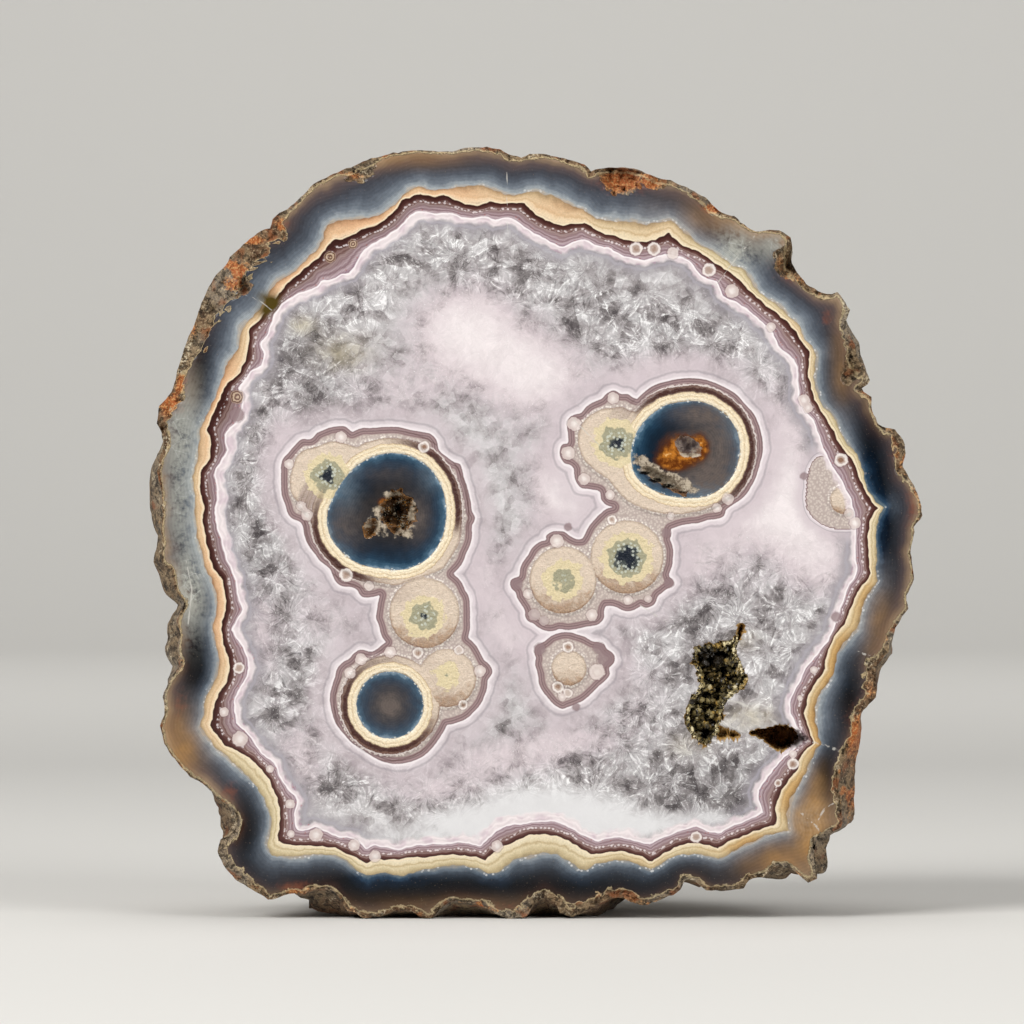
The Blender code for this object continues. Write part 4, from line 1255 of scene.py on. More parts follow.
    def mix(self, base, top, amount):
        """A colour with another laid over it."""
        made = self.node("ShaderNodeMix", data_type="RGBA", clamp_factor=True)
        for number, value in ((0, amount), (6, base), (7, top)):
            self.plug(made.inputs[number], value)
        return Colour(self, made.outputs[2])

    def ramp(self, value, stops):
        """A colour that changes along a number, through stops of a place and a colour."""
        made = self.node("ShaderNodeValToRGB")
        points = made.color_ramp.elements
        points[0].position, points[0].color = stops[0][0], tone(stops[0][1])
        points[1].position, points[1].color = stops[-1][0], tone(stops[-1][1])
        for place, code in stops[1:-1]:
            points.new(place).color = tone(code)
        self.plug(made.inputs[0], value)
        return Colour(self, made.outputs[0])

    def dim(self, base, amount):
        """A colour multiplied by a number."""
        return Colour(self, self.vector("SCALE", base, scale=amount))

    def finish(self, colour, roughness, bump=None, strength=0.3, distance=0.0002):
        """Link the colour, the roughness and the relief to the shader."""
        self.plug(self.shader.inputs["Base Color"], colour)
        self.plug(self.shader.inputs["Roughness"], roughness)
        if bump is not None:
            relief = self.node("ShaderNodeBump")
            self.fill(relief, Strength=strength, Distance=distance, Height=bump)
            self.plug(self.shader.inputs["Normal"], relief.outputs["Normal"])
        return self.material


def husk_colours(paint, look):
    """Rough husk: tan grains with rust, cream and dark pits. Returns its colour and its relief."""
    coarse = paint.noise(12, 4, 0.62)
    fine = paint.noise(2.4, 3, 0.65)
    patch = paint.noise(22, 2, 0.55, seed=2)
    broad = paint.noise(75, 2, 0.5, seed=7)
    colour = paint.mix("4a3b2d", look.husk, coarse.above(0.34, 0.58))
    colour.lay("8d8478", broad.above(0.48, 0.62) * 0.55)
    colour.lay("6b4a33", broad.below(0.36, 0.46) * 0.55)
    colour.lay("bda888", fine.above(0.50, 0.70) * 0.6)
    colour.lay("8c5330", patch.above(0.55, 0.7) * 0.7)
    colour.lay("d8cbb0", patch.below(0.3, 0.42) * fine.above(0.45, 0.65) * 0.8)
    pits = paint.noise(5.5, 3, 0.65, seed=5).below(0.38, 0.46)
    colour.lay(look.husk_dark, pits * 0.65)
    blotch = paint.noise(34, 3, 0.6, seed=9).above(0.56, 0.72)
    near = paint.field("sunk").below(25, 110)
    rust = (paint.field("rust") * near + blotch * 0.5 + fine * 0.9 + coarse * 0.6).above(1.15, 1.5)
    stain = paint.mix(look.rust, "cf9a62", fine.above(0.46, 0.66))
    stain.lay("6e3f22", pits * 0.3)
    colour.lay(stain, rust * 0.85)
    relief = fine * 0.45 + coarse * 0.8 - pits * 0.5
    return colour, relief


def rim_colours(paint, look):
    """Chalcedony outside the cream band."""
    rim = paint.field("rim")
    drift = paint.noise(24, 3, 0.5)
    wisps = paint.noise(5, 3, 0.6)
    place = rim + (drift - 0.5) * 0.24 + (wisps - 0.5) * 0.07
    usual = paint.ramp(place, [(0.0, "a28c76"), (0.12, "826e5b"), (0.27, "534848"), (0.45, "3d3e45"),
                               (0.64, "4b515b"), (0.82, "6a727c"), (0.93, "949ba0"), (1.0, "a59b8f")])
    navy = paint.ramp(place, [(0.0, "432b1c"), (0.15, "2a1a16"), (0.33, "0e0a0e"), (0.58, "040a12"),
                              (0.80, "0a1a2a"), (0.93, "2a4056"), (1.0, "55656f")])
    colour = paint.mix(usual, navy, paint.field("navy"))
    colour.lay(look.amber, paint.field("amber") * (1.2 - rim * 0.8) * (0.3 + drift * 1.1))
    colour.lay(look.milk, paint.field("milk") * (wisps + drift - 0.35).above(0.1, 0.8) * 0.9)
    rust = (paint.field("rust") + drift * 0.8 + wisps * 0.8).above(1.05, 2.0)
    colour.lay("7c4630", rust * 0.6)
    cracks = paint.cells(15, feature="DISTANCE_TO_EDGE").below(0.0, 0.05)
    colour.lay("b9bdba", cracks * paint.field("milk").above(0.4, 0.9) * wisps * 0.7)
    lines = paint.math("SINE", paint.field("wall") * 1.9 + drift * 9.0)
    flecks = paint.noise(2.2, 2, 0.6).above(0.68, 0.8)
    colour.lay("9d8a76", flecks * 0.22)
    wall = paint.field("wall")
    thin = paint.math("SINE", wall * 4.1 + drift * 6.0) * wall.above(-24, -3)
    return paint.dim(colour, 0.88 + wisps * 0.3 + lines * 0.05 + thin * 0.06)


def cream_colours(paint, wall, inner):
    """The cream band, from its ochre outside to the pale line at its inside."""
    share = wall / (wall - inner + 0.01)
    sugar = paint.noise(1.7, 2, 0.65)
    layers = paint.noise(6, 2, 0.5)
    place = share + (layers - 0.5) * 0.25
    plain = paint.ramp(place, [(0.0, "9a8b6d"), (0.18, "baa986"), (0.45, "d3c5a4"), (0.60, "b9a683"),
                               (0.70, "d6c8a8"), (1.0, "e2d7bf")])
    warm = paint.ramp(place, [(0.0, "93694c"), (0.25, "c39470"), (0.6, "dbb08b"), (0.85, "e3c2a0"),
                              (1.0, "9a745a")])
    golden = paint.ramp(place, [(0.0, "7f5f38"), (0.25, "a98048"), (0.5, "c29b60"), (0.68, "b08f60"),
                                (0.8, "cdb386"), (1.0, "d8c6a8")])
    colour = paint.mix(plain, warm, paint.field("warm") * 0.9)
    colour.lay(golden, paint.field("gold").above(0.05, 0.9) * 0.85)
    colour.dim(0.78 + sugar * 0.44)
    return paint.mix(colour, "e6d5b8", inner.between(-1.5, 0.0, 0.4) * 0.8)


def band_colours(paint, look, inner, pale):
    """Maroon line, white dots and laminated mauve, between the cream band and the white one."""
    share = inner / (inner - pale + 0.01)
    wobble = paint.noise(7, 3, 0.6) - 0.5
    place = share + wobble * 0.10 - paint.field("warm") * 0.10
    colour = paint.ramp(place, [
        (0.0, "3c221f"), (0.10, "4a2b28"), (0.22, "5f403b"), (0.30, "8d7470"), (0.36, "6d4f4b"),
        (0.44, "9a8583"), (0.56, "8a7174"), (0.64, "a8959a"), (0.72, "82686e"), (0.82, "b3a1a6"),
        (0.92, "8b7280"), (1.0, "a08c98")])
    lamina = paint.math("SINE", inner * 3.1 + wobble * 6.0)
    colour.dim(1.0 + lamina * 0.09)
    dots = paint.cells(3.4).below(0.25, 0.45)
    colour.lay(look.blush, (inner + wobble * 2).between(5.2, 7.4, 0.7) * dots * 0.75)
    reds = paint.cells(9).below(0.05, 0.12)
    colour.lay("a05048", reds * share.above(0.6, 0.8) * 0.5)
    return paint.mix(colour, paint.dim(colour, 0.72), paint.field("warm") * share.below(0.6, 1.0) * 0.7)


def pale_line(paint, look, colour, pale, ripple):
    """The pink-white band that starts at the mauve's inside, laid over both sides of it."""
    soft = paint.noise(14, 2, 0.5, seed=3)
    blush = paint.mix(look.blush, "c9b5c0", soft.above(0.45, 0.75) * 0.7)
    laminae = paint.math("SINE", (pale + ripple) * 1.5 + soft * 4)
    blush.dim(0.98 + laminae * 0.06)
    width = pale + ripple - paint.field("snow") * 3 - soft * 4 - paint.field("warm") * 5
    colour.lay(blush, (pale + 1.2).above(-0.6, 0.6) * width.below(0.0, 4.5) * 0.9)
    return paint.mix(colour, "f4eff1", pale.between(-1.4, 0.2, 0.4) * 0.6)


def quartz_colours(paint, look):
    """Grey quartz with sprays of white needles, and pinkish clouds."""
    grey = paint.noise(24, 4, 0.6)
    warp = paint.node("ShaderNodeTexNoise", noise_dimensions="2D")
    paint.fill(warp, Vector=paint.place, Scale=1 / 22, Detail=2.0)
    push = paint.vector("SUBTRACT", warp.outputs["Color"], (0.5, 0.5, 0.5))
    bent = paint.vector("ADD", paint.place, paint.vector("SCALE", push, scale=9.0))
    straight = paint.vector("ADD", paint.place, paint.vector("SCALE", push, scale=3.0))
    feather = paint.field("feather")
    smoke = paint.field("smoke")
    large = paint.sprays(40, 44, bent)
    small = paint.sprays(17, 22, bent, 1.0)
    plates = paint.facets(8, straight)
    slabs = paint.facets(17, straight)
    seams = paint.cells(17, straight, "DISTANCE_TO_EDGE").below(0.0, 0.05) * grey.above(0.42, 0.60)
    tone_of = grey - smoke * 0.09 + (plates - 0.5) * 0.2 + (slabs - 0.5) * 0.16 + 0.07
    colour = paint.ramp(tone_of, [(0.22, "5a5557"), (0.36, "817c7d"), (0.48, "a29d9f"), (0.60, "b5b2b4"),
                                  (0.78, "c9c7c9")])
    strength = feather.above(0.0, 0.7)
    needles = (large - 0.5) * 1.3 + (small - 0.5) * 1.1
    colour.dim(1.0 + needles * (strength * 0.6 + 0.30))
    frost = needles + seams * 0.24 + (grey - 0.5) * 0.4 + (plates - 0.5) * 0.2
    colour.lay(look.snow, frost.above(0.10, 0.42) * (strength * 0.95 + 0.05))
    gaps = (needles + (grey - 0.5) * 0.8 + (slabs - 0.5) * 0.3).below(-0.45, -0.12)
    colour.lay(look.shade, gaps * strength * 0.5)
    colour.dim(1.06 - smoke * 0.2)
    tan = paint.field("tan") * (small * 0.8 + plates * 0.5)
    colour.lay("b5ab90", tan * 0.8)
    blobs = paint.noise(11, 3, 0.5, seed=4)
    cloud = paint.field("cloud")
    puff = paint.mix("aea1a9", look.cloud, (cloud + (blobs - 0.5) * 0.5).above(0.15, 0.75))
    puff.lay("e7dfe1", (cloud + (blobs - 0.5) * 0.3).above(0.55, 1.25) * 0.95)
    puffs = cloud + (grey - 0.5) * 0.7 + (small - 0.5) * 0.45 + (large - 0.5) * 0.3
    colour.lay(puff, puffs.above(0.08, 0.8) * 0.93)
    colour.dim(0.99 + (small - 0.5) * 0.18 + (large - 0.5) * 0.16 + (plates - 0.5) * 0.05)
    flecks = paint.noise(1.8, 2, 0.5, seed=6).above(0.66, 0.78)
    colour.lay(look.snow, flecks * 0.5)
    snow = (paint.field("snow") + (grey - 0.5) * 0.5 + (large - 0.5) * 0.4).above(0.1, 1.0)
    return paint.mix(colour, "dadadc", snow * 0.92)


def halo_colours(paint, look, colour):
    """The pale glow outside the coats of the eyes."""
    coat = paint.field("coat")
    soft = paint.noise(12, 2, 0.5, seed=7)
    colour.lay("c6bac0", (coat + soft * 14).above(-26, -4) * 0.65)
    colour.lay("e9e1e5", (coat + soft * 4).above(-5, 0.5) * 0.6)
    colour.lay(look.lavender, (coat + soft * 3).between(-6.5, -4.5, 1.2) * 0.45)
    ripples = paint.math("SINE", (coat + soft * 5) * 1.7)
    return paint.dim(colour, 1.0 + ripples * coat.above(-16, -2) * 0.05)


def coat_colours(paint, base, coat, growth, sugar, patch):
    """The mauve coats round the eyes and their paler, dotted inside, laid over the base colour."""
    speckle = paint.cells(2.8).below(0.2, 0.5)
    colour = paint.mix(base, "e9e2e4", coat.between(-1.6, 0.1, 0.5) * 0.75)
    mauve = paint.ramp(coat * 0.1, [
        (0.0, "6f565a"), (0.10, "8b7476"), (0.22, "9c8687"), (0.34, "755e61"), (0.44, "9b8686"),
        (0.56, "82696b"), (0.70, "ab9996"), (1.0, "a99894")])
    colour.lay(paint.dim(mauve, 0.88 + sugar * 0.24), coat.above(-0.3, 0.5))
    zone = paint.mix("ab9c97", "d6ccc4", speckle * (sugar * 0.9) + patch * 0.3)
    colour.lay(zone, coat.above(6.4, 8.0))
    colour.lay("e6ded6", growth.between(-2.2, -0.6, 0.6) * speckle * 0.85)
    return colour


def growth_colours(paint, look, growth, core, sugar, patch):
    """The beige round growths, browner to one side, with dark laminae near their cores."""
    side = paint.field("brown") * 0.8 + (patch - 0.5) * 1.2
    body = paint.mix(look.beige, look.grain, side.above(0.05, 0.95) * (0.35 + sugar * 0.9))
    body.dim(0.74 + sugar * 0.36 + patch * 0.24)
    body.lay("6b4c36", growth.below(0.3, 2.6) * (side.above(-0.3, 0.6) * 0.35 + 0.35))
    lower = growth.below(3, 15) * side.above(0.1, 0.7)
    body.lay(paint.mix("7d624c", "bd9f84", (sugar + patch * 0.5).above(0.55, 0.9)), lower * 0.5)
    near = core.above(-34, -30)
    dusk = paint.mix("857070", "5f4440", paint.math("SINE", core * 1.5).above(0.2, 0.9))
    body.lay(dusk, core.below(-16, -14.5) * near * paint.field("crescent").above(0.0, 0.4) * 0.6)
    return body


def pupil_colours(paint, core, wobble, sugar, patch, rubble, painted_shadow):
    """The dark blue cores, with golden hollows, rubble and faint rings, with painted highlights on the
    golden hollows and painted black shadow in the hollows and under the rubble.
    """
    depth = core + (paint.noise(14, 3, 0.6) - 0.5) * 12
    pupil = paint.ramp(depth * 0.03, [
        (0.0, "6f8799"), (0.06, "3c5a70"), (0.22, "1e384d"), (0.5, "112333"), (0.8, "101a25"),
        (1.0, "16181d")])
    pupil.lay("7b8a96", paint.field("milk") * (0.25 + patch * 0.9))
    pupil.lay("5f5652", paint.field("murk") * (0.3 + patch * 0.9))
    gold = paint.field("gold") + (patch - 0.5) * 0.4
    pupil.lay("4d2a14", gold.above(0.1, 0.6) * 0.85)
    amber_and_highlight = paint.noise(11, 3, 0.6, seed=14)
    amber = paint.mix("5f2f0d", "b8742a", (amber_and_highlight + sugar * 0.1).above(0.40, 0.72))
    # Painted highlights: pale gold spots on the glossy golden hollow
    amber.lay("e0b878", (amber_and_highlight + (patch - 0.5) * 0.8).above(0.72, 0.78) * 0.7)
    pupil.lay(amber, gold.above(0.35, 0.85) * 0.95)
    pupil.lay(paint.mix("655849", "b9ac99", (patch + sugar * 0.4).above(0.5, 0.85)), rubble * 0.9)
    # Painted black shadow under the rubble and in the hollow
    pupil.lay("0d0b0a", painted_shadow)
    arcs = paint.math("SINE", core * 2.6 + wobble * 3)
    pupil.dim(1.0 + arcs * 0.06 + (sugar - 0.5) * 0.25)
    return pupil


def pit_colours(paint, hollow, sugar, patch, rubble, painted_shadow):
    """The rough brown insides of the eyes' hollows, darkened the deeper they go as painted shade, with
    painted black shadow.
    """
    # Painted shade: the hollow's brown darkens the deeper it goes
    pit = paint.mix("7d5a3a", "3b2819", (hollow + (patch - 0.5) * 22).above(2, 15))
    pit.lay("c08a48", (sugar + patch * 1.2).above(1.18, 1.36) * 0.75)
    pale_rock = paint.mix("7d7162", "bdb09c", (patch + sugar * 0.4).above(0.5, 0.8))
    pit.lay(paint.mix("5f5352", "9c8f8c", patch.above(0.3, 0.65)), paint.field("milk"))
    pit.lay(pale_rock, rubble * 0.9)
    # Painted black shadow
    pit.lay("0b0908", painted_shadow)
    pit.lay("b9ad98", (patch - sugar).above(0.12, 0.2) * 0.6)
    return pit


def eye_colours(paint, look, base):
    """The ringed eyes, laid over the base colour. Returns the colour and the grain's relief."""
    wobble = paint.noise(5, 3, 0.6) - 0.5
    lobes = paint.noise(9, 2, 0.5, seed=8) - 0.5
    sugar = paint.noise(1.9, 2, 0.65)
    patch = paint.noise(7, 3, 0.6, seed=2)
    coat = paint.field("coat") + wobble * 0.9
    growth = paint.field("growth") + wobble * 2.0
    core = paint.field("core") + wobble * 1.6
    crescent = paint.field("crescent")
    hollow = paint.field("hollow")
    rubble = (paint.field("rubble") + (patch - 0.5) * 1.2).above(0.35, 0.7)
    # Painted shadow, laid black over the cores and the hollows
    painted_shadow = (paint.field("painted_shadow") + (patch - 0.5)).above(0.45, 0.75)
    colour = coat_colours(paint, base, coat, growth, sugar, patch)
    body = growth_colours(paint, look, growth, core, sugar, patch)
    ring_edge = core + lobes * 3.5
    ring = paint.ramp(ring_edge * -0.105, [
        (0.0, "b39c7c"), (0.10, "f1e5cd"), (0.40, "ecdcbf"), (0.55, "d6c09c"), (0.64, "eee0c6"),
        (0.88, "e3d0ae"), (1.0, "a98a68")])
    body.lay(paint.dim(ring, 0.76 + sugar * 0.46), ring_edge.above(-9.8, -9.0))
    heart = paint.field("heart") + wobble * 0.35 + lobes * 1.5
    dots = paint.cells(4.2).below(0.25, 0.38)
    body.lay(paint.dim(look.yellow, 0.80 + sugar * 0.36), heart.above(-0.06, 0.10))
    body.lay(paint.dim(look.green, 0.80 + sugar * 0.36), heart.above(0.95, 1.15))
    body.lay(look.slate, heart.above(1.85, 2.15) * 0.9)
    body.lay("0f1826", heart.above(2.2, 2.45))
    body.lay("d5dad0", heart.above(1.35, 1.6) * heart.below(2.35, 2.5) * dots * 0.6)
    pupil = pupil_colours(paint, core, wobble, sugar, patch, rubble, painted_shadow)
    body.lay(pupil, core.above(-0.5, 0.4))
    rim_dots = paint.cells(4.6).below(0.2, 0.32) * (lobes + wobble).above(-0.12, 0.12)
    body.lay("dfe0da", core.between(-1.6, 1.4, 0.4) * rim_dots * 0.75)
    body.lay(pit_colours(paint, hollow, sugar, patch, rubble, painted_shadow), hollow.above(0.4, 1.6))
    colour.lay(body, growth.above(-0.4, 0.4))
    dark_line = ring_edge.between(-13.6, -9.4, 0.9) + core.between(-23, -21.5, 0.7) * 0.5
    edge_line = (core + wobble * 2).between(-17.2, -15.8, 0.4) * crescent.above(0.2, 0.8)
    coated = coat.above(-0.5, 2)
    colour.lay("603f37", core.between(-17.0, -9.4, 1.2) * crescent.above(0.1, 0.7) * coated * 0.85)
    colour.lay("41211c", dark_line * crescent.above(0.1, 0.8) * coated * 0.95)
    colour.lay("e2d8d4", edge_line * coated * 0.75)
    grain = (sugar * 0.7 + patch * 1.5) * growth.above(-4, 0) * core.below(-2, 0)
    return colour, grain + hollow.above(1, 3) * patch * 2


def bubble_colours(paint, base):
    """Small round bubbles: a pale ring with a tan, mauve or ringed brown middle; the paler centre of
    those without a brown middle is partly their own white and partly a painted highlight.
    """
    share = paint.field("bubble")
    brown = paint.field("bubble_heart")
    share = share + (paint.noise(4, 2, 0.5, seed=11) - 0.5) * 0.4
    ball = paint.mix("8a7578", "d2c4c0", brown.above(-0.5, -0.1))
    # Paler centre: partly the bubble's own white, partly a painted highlight on a dome
    ball.lay("f0eae7", share.below(0.1, 0.75) * brown.above(-0.4, 0.0) * 0.85)
    ringed = brown.above(0.3, 0.6)
    ball.lay("b19c8e", share.below(0.55, 0.7) * ringed * 0.8)
    ball.lay("efe9e5", share.between(0.62, 0.9, 0.12) * ringed * 0.85)
    ball.lay("7d5230", share.below(0.25, 0.48) * brown.above(0.3, 1.0) * 0.85)
    rings = paint.mix("6b4f41", "c2ab92", paint.math("SINE", share * 14.0).above(-0.4, 0.6))
    ball.lay(rings, brown.above(1.3, 1.6))
    colour = paint.mix(base, "74595c", share.between(0.95, 1.15, 0.08) * 0.35)
    return paint.mix(colour, ball, share.below(0.90, 1.02) * 0.82)


def cavity_colours(paint, colour):
    """Brown walls where the cavity and the slot sink into the face, darkened the deeper they sink as
    painted shade.
    """
    sunk = paint.field("cavity")
    grit = paint.noise(3, 3, 0.65)
    broad = paint.noise(11, 2, 0.5, seed=3)
    # Painted shade: the walls darken with depth, dark patches only deep down, pale grit only near the
    # top
    wall = paint.mix("a8854f", "6b4422", (sunk + (grit - 0.5) * 20).above(2, 20))
    wall.lay("33200f", broad.above(0.45, 0.6) * sunk.above(4, 12) * 0.8)
    wall.lay("cdbd92", grit.above(0.58, 0.68) * sunk.below(10, 40) * 0.7)
    return paint.mix(colour, wall, (sunk + (grit - 0.5) * 3).above(0.8, 2.2))


def face_material(look, part):
    """The polished face in three parts that meet unseen: rim, quartz and eyes."""
    paint = Paint("agate_" + part, flat=True)
    pale = paint.field("pale")
    lobes = 0.45 - paint.cells(10)
    ripple = (paint.noise(7, 3, 0.6) - 0.5) * 2.4 + lobes * 2.6
    pale = pale + lobes * 1.6
    if part == "rim":
        wall = paint.field("wall") + lobes * 1.4
        inner = paint.field("inner") + lobes * 1.6
        colour = rim_colours(paint, look)
        dotted = (wall + ripple).between(-2.6, 0.2, 0.6) * paint.cells(4.5).below(0.16, 0.34)
        dotted = dotted * (0.5 - paint.field("warm") * 0.5) * paint.noise(30, 1).above(0.4, 0.6)
        colour.lay(look.snow, dotted)
        cream = cream_colours(paint, wall, inner)
        colour.lay(cream, (wall + ripple * 0.5).above(-0.4, 0.5))
        bands = band_colours(paint, look, inner, pale)
        colour.lay(bands, (inner + ripple * 0.3).above(-0.3, 0.4))
        colour.lay("4a3d18", paint.field("olive"))
    else:
        colour = quartz_colours(paint, look)
        clear = paint.field("snow").below(0.1, 0.8)
        colour.lay(look.lavender, (pale + ripple * 2).below(7, 22) * clear * 0.75)
        colour.lay("a9a6b0", (pale + ripple * 0.5).between(7, 9.5, 1.0) * clear * 0.5)
        colour = halo_colours(paint, look, colour)
    relief = paint.noise(2.5, 1)
    strength = 0.02
    if part == "eyes":
        colour, relief = eye_colours(paint, look, colour)
        strength = 0.45
    colour = pale_line(paint, look, colour, pale, ripple)
    colour = bubble_colours(paint, colour)
    crack = paint.field("crack") + ripple * 0.4
    colour.lay("c9c6c0", crack.below(0.3, 1.0) * 0.6)
    roughness = look.polish
    if part == "rim":
        husk, rough_relief = husk_colours(paint, look)
        rough = paint.field("rough") + (paint.noise(2.5, 3, 0.6) - 0.5) * 3
        husk.lay("d0bc94", rough.between(-0.6, 1.8, 0.6) * 0.6)
        husky = paint.math("MAXIMUM", rough.above(-0.4, 0.8), paint.field("hollow").above(0.3, 1.5))
        colour.lay(husk, husky)
        roughness = husky * 0.6 + look.polish
        relief = rough_relief * husky
        strength = 0.8
    elif part == "quartz":
        colour = cavity_colours(paint, colour)
    paint.shader.inputs["Specular IOR Level"].default_value = 0.18
    return paint.finish(colour, roughness, relief, strength, 0.0005)


def husk_material(look):
    """The rough outside of the nodule."""
    paint = Paint("agate_husk")
    colour, relief = husk_colours(paint, look)
    return paint.finish(colour, 0.78, relief, 0.9, 0.0008)


def druse_material(look):
    """Small dark crystals in the cavity; their shade field holds each grain's tone, with painted shade
    and shadow in it.
    """
    paint = Paint("druse_grains")
    shade = paint.field("shade")
    grit = paint.noise(1.5, 1)
    colour = paint.mix(look.dark, look.olive, shade.above(0.15, 0.7))
    colour.lay(look.pale, (shade + grit * 0.1).above(0.82, 0.98))
    golden = paint.noise(13, 2, 0.5, seed=4).above(0.53, 0.62)
    colour.lay("a8853a", golden * shade.above(0.1, 0.6) * 0.7)
    return paint.finish(colour, 0.3, grit, 0.2, 0.0001)


def pointed_crystal(bm):
    """A six-sided crystal of unit radius that points along +Z and stands on the origin."""
    bmesh.ops.create_cone(bm, cap_ends=True, segments=6, radius1=0.8, radius2=1.0, depth=1.2)
    top = max(bm.faces, key=lambda face: face.calc_center_median().z)
    bmesh.ops.poke(bm, faces=[top], offset=0.9)
    return bm


def druse_mesh(settings):
    """A crust of small pointed crystals on the cavity's walls and floor."""
    dice = np.random.default_rng(11)
    outline = curve_through(VUG_EDGE_PX, 2)
    spots = dice.uniform(outline.min(0), outline.max(0), (settings.grains * 4, 2))
    inside = depth_in(spots, outline)[0]
    spots = spots[inside > 0.3][:settings.grains]
    inside = inside[inside > 0.3][:settings.grains]
    deep = cavity_depths(spots)
    single = pointed_crystal(bmesh.new())
    part = bpy.data.meshes.new("crystal")
    single.to_mesh(part)
    count = len(single.verts)
    shape = np.array([vert.co[:] for vert in single.verts])
    single.free()
    bm = bmesh.new()
    for _ in range(len(spots)):
        bm.from_mesh(part)
    bpy.data.meshes.remove(part)
    shade = bm.verts.layers.float.new("shade")
    bm.verts.ensure_lookup_table()
    centre = np.array(CAVITY_MIDDLE_PX)
    painted_shadow = np.minimum(patches(spots, CAVITY_SHADOW_PX), 0.95)
    for number, (spot, reach, depth, in_painted_shadow) in enumerate(zip(spots, inside, deep, painted_shadow)):
        size = settings.grain_size * (0.45 + dice.random() ** 4 * 1.6)
        heap = 0.5 + noise.fractal(Vector((spot[0] / 9, spot[1] / 9, 4)), 0.5, 2.4, 3) * 0.9
        heap += dice.uniform(-0.12, 0.12)
        sink = dice.random() * depth if reach <= 3 else (
            GRAIN_TOP_DEPTH + GRAIN_HEAP_HEIGHT * min(max(heap, 0.0), 1.0) ** 1.5)
        place = on_face(spot, max(min(sink, depth * 0.95), size * 1.6))
        toward = centre - spot
        lean = Vector((toward[0], -30 - 60 * (reach > 9), -toward[1])).normalized()
        lean = (lean + Vector(dice.uniform(-0.6, 0.6, 3))).normalized()
        turn = lean.to_track_quat("Z", "Y").to_matrix()
        stretch = dice.uniform((0.6, 0.6, 0.6), (1.3, 1.3, 1.7)) * size
        # Grain tone: random, with painted shadow in the dark spots of the cavity, a little paler near
        # its edge, and darker the deeper the grain sits as painted shade
        value = float(dice.random()) * (1 - in_painted_shadow) * (0.75 + 0.25 * (reach < 4))
        value *= 1.3 - 0.6 * min(sink / GRAIN_HEAP_HEIGHT, 1.0)
        for offset in range(count):
            vert = bm.verts[number * count + offset]
            vert.co = place + turn @ Vector(shape[offset] * stretch)
            vert[shade] = value
    return bm


class AGATE_OT_stone(bpy.types.Operator):
    """Build the stone with its polished face and rough husk"""
    bl_idname = "agate.stone"
    bl_label = "Build Stone"

    def execute(self, context):
        look = context.scene.agate_stone
        bm = stone_mesh(look)
        carve_face(bm)
        surfaces = [face_material(look, part) for part in ("rim", "quartz", "eyes")]
        stone = add_object("agate_stone", bm, surfaces + [husk_material(look)])
        store_fields(stone.data)
        stone.data.set_sharp_from_angle(angle=math.radians(50))
        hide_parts("agate")
        return {"FINISHED"}


class AGATE_OT_druse(bpy.types.Operator):
    """Grow the small crystals in the cavity"""
    bl_idname = "agate.druse"
    bl_label = "Grow Druse"

    def execute(self, context):
        look = context.scene.agate_druse
        druse = add_object("vug_druse", druse_mesh(look), [druse_material(look)])
        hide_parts("vug_crystals")
        return {"FINISHED"}


def stage_floor(look):
    """A pale floor that rises into a backdrop far behind the stone."""
    bm = bmesh.new()
    edge = bm.edges.new([bm.verts.new((side * FLOOR_HALF_WIDTH, FLOOR_FRONT_Y, 0)) for side in (-1, 1)])
    profile = [(FLOOR_BEND_Y, 0.0)]
    for step in range(1, 9):
        angle = math.pi / 2 * step / 8
        profile.append((FLOOR_BEND_Y + FLOOR_BEND_RADIUS * math.sin(angle),
                        FLOOR_BEND_RADIUS * (1 - math.cos(angle))))
    profile.append((FLOOR_BEND_Y + FLOOR_BEND_RADIUS, BACKDROP_HEIGHT))
    for y, z in profile:
        grown = bmesh.ops.extrude_edge_only(bm, edges=[edge])["geom"]
        verts = [item for item in grown if isinstance(item, bmesh.types.BMVert)]
        for vert in verts:
            vert.co.y, vert.co.z = y, z
        edge = next(item for item in grown if isinstance(item, bmesh.types.BMEdge)
                    and all(vert in verts for vert in item.verts))
    bmesh.ops.recalc_face_normals(bm, faces=bm.faces)
    mesh = bpy.data.meshes.new("floor")
    bm.to_mesh(mesh)
    bm.free()
    mesh.shade_smooth()
    floor = bpy.data.objects.new("floor", mesh)
    bpy.context.scene.collection.objects.link(floor)
    paint = Paint("pale_floor")
    paint.finish(look.floor, 0.9)
    mesh.materials.append(paint.material)


def soft_light(name, place, aim, size, power):
    """A square soft light that looks at a point."""
    lamp = bpy.data.lights.new(name, "AREA")
    lamp.shape = "SQUARE"
    lamp.size = size
    lamp.energy = power
    lamp.color = LIGHT_TINT
    obj = bpy.data.objects.new(name, lamp)
    obj.location = place
    obj.rotation_euler = (Vector(aim) - Vector(place)).to_track_quat("-Z", "Y").to_euler()
    obj.visible_camera = False
    bpy.context.scene.collection.objects.link(obj)


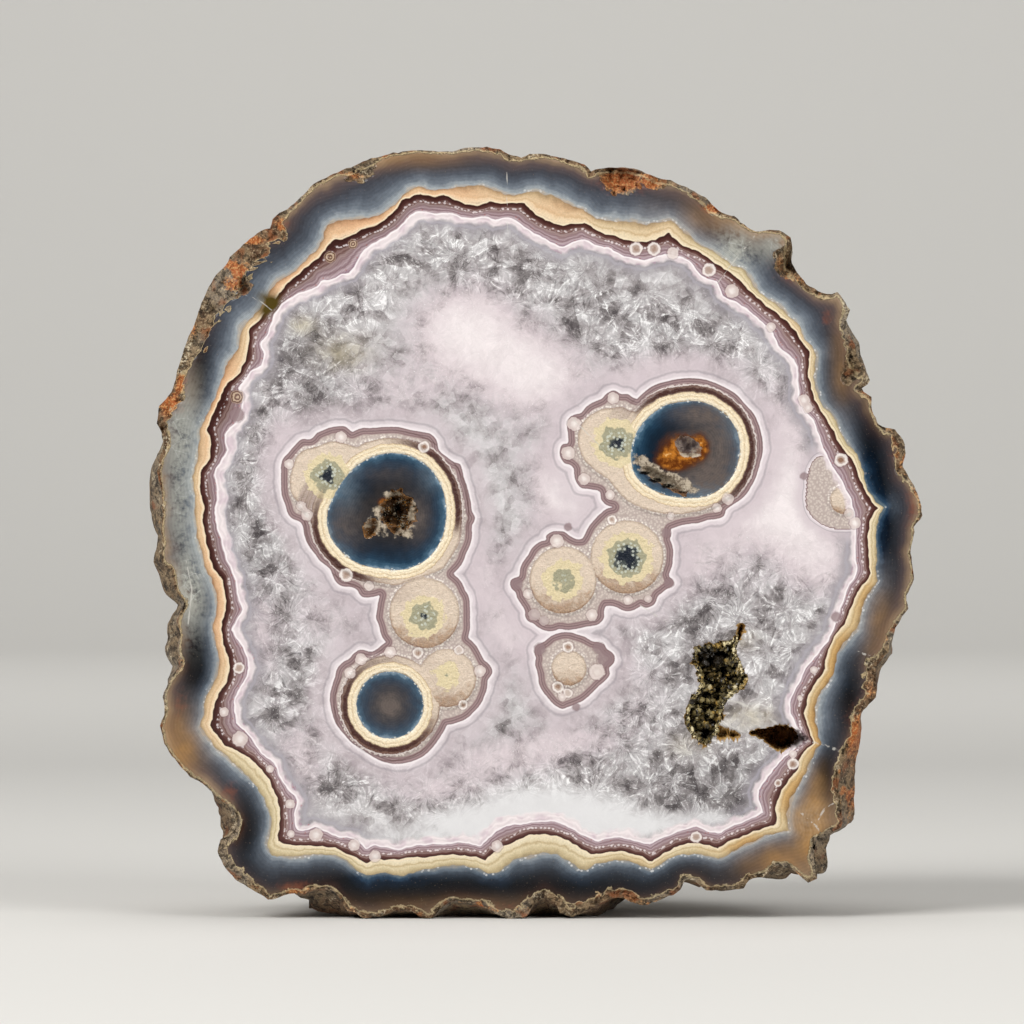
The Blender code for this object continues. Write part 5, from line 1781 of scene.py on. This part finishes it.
class AGATE_OT_stage(bpy.types.Operator):
    """Set the floor, the studio light and the camera"""
    bl_idname = "agate.stage"
    bl_label = "Set Stage"

    def execute(self, context):
        look = context.scene.agate_stage
        stage_floor(look)
        scene = context.scene
        scene.view_settings.view_transform = "Standard"
        world = bpy.data.worlds.new("studio")
        world.use_nodes = True
        backdrop = world.node_tree.nodes["Background"]
        backdrop.inputs["Color"].default_value = (1.0, 0.99, 0.97, 1.0)
        backdrop.inputs["Strength"].default_value = WORLD_STRENGTH * look.brightness
        scene.world = world
        for name, place, aim, size, power in LIGHTS:
            soft_light(name, place, aim, size, power * look.brightness)
        camera = bpy.data.cameras.new("camera")
        camera.sensor_width = 36.0
        camera.lens = 36.0 * look.distance / (FRAME_PX * PIXEL)
        camera.clip_start = 0.01
        obj = bpy.data.objects.new("camera", camera)
        centre = on_face((FRAME_PX / 2, FRAME_PX / 2))
        obj.location = (centre.x, FACE_Y - look.distance, centre.z)
        obj.rotation_euler = (math.radians(90), 0, 0)
        scene.collection.objects.link(obj)
        scene.camera = obj
        return {"FINISHED"}


class AGATE_PT_panel(bpy.types.Panel):
    """Sidebar panel of the agate"""
    bl_idname = "AGATE_PT_panel"
    bl_label = "Agate"
    bl_space_type = "VIEW_3D"
    bl_region_type = "UI"
    bl_category = "Agate"

    def draw(self, context):
        column = self.layout.column()
        for group, operator in (("agate_stone", "agate.stone"), ("agate_druse", "agate.druse"),
                                ("agate_stage", "agate.stage")):
            settings = getattr(context.scene, group)
            for key in settings.__annotations__:
                column.prop(settings, key)
            column.operator(operator)


CLASSES = [StoneSettings, DruseSettings, StageSettings, AGATE_OT_stone, AGATE_OT_druse, AGATE_OT_stage,
           AGATE_PT_panel]


def register():
    """Register the classes and their settings."""
    for item in CLASSES:
        bpy.utils.register_class(item)
    bpy.types.Scene.agate_stone = PointerProperty(type=StoneSettings)
    bpy.types.Scene.agate_druse = PointerProperty(type=DruseSettings)
    bpy.types.Scene.agate_stage = PointerProperty(type=StageSettings)


def unregister():
    """Remove the settings and the classes."""
    del bpy.types.Scene.agate_stone
    del bpy.types.Scene.agate_druse
    del bpy.types.Scene.agate_stage
    for item in reversed(CLASSES):
        bpy.utils.unregister_class(item)


def main():
    """Build every piece in order."""
    register()
    bpy.ops.agate.stone()
    bpy.ops.agate.druse()
    bpy.ops.agate.stage()


if __name__ == "__main__":
    main()
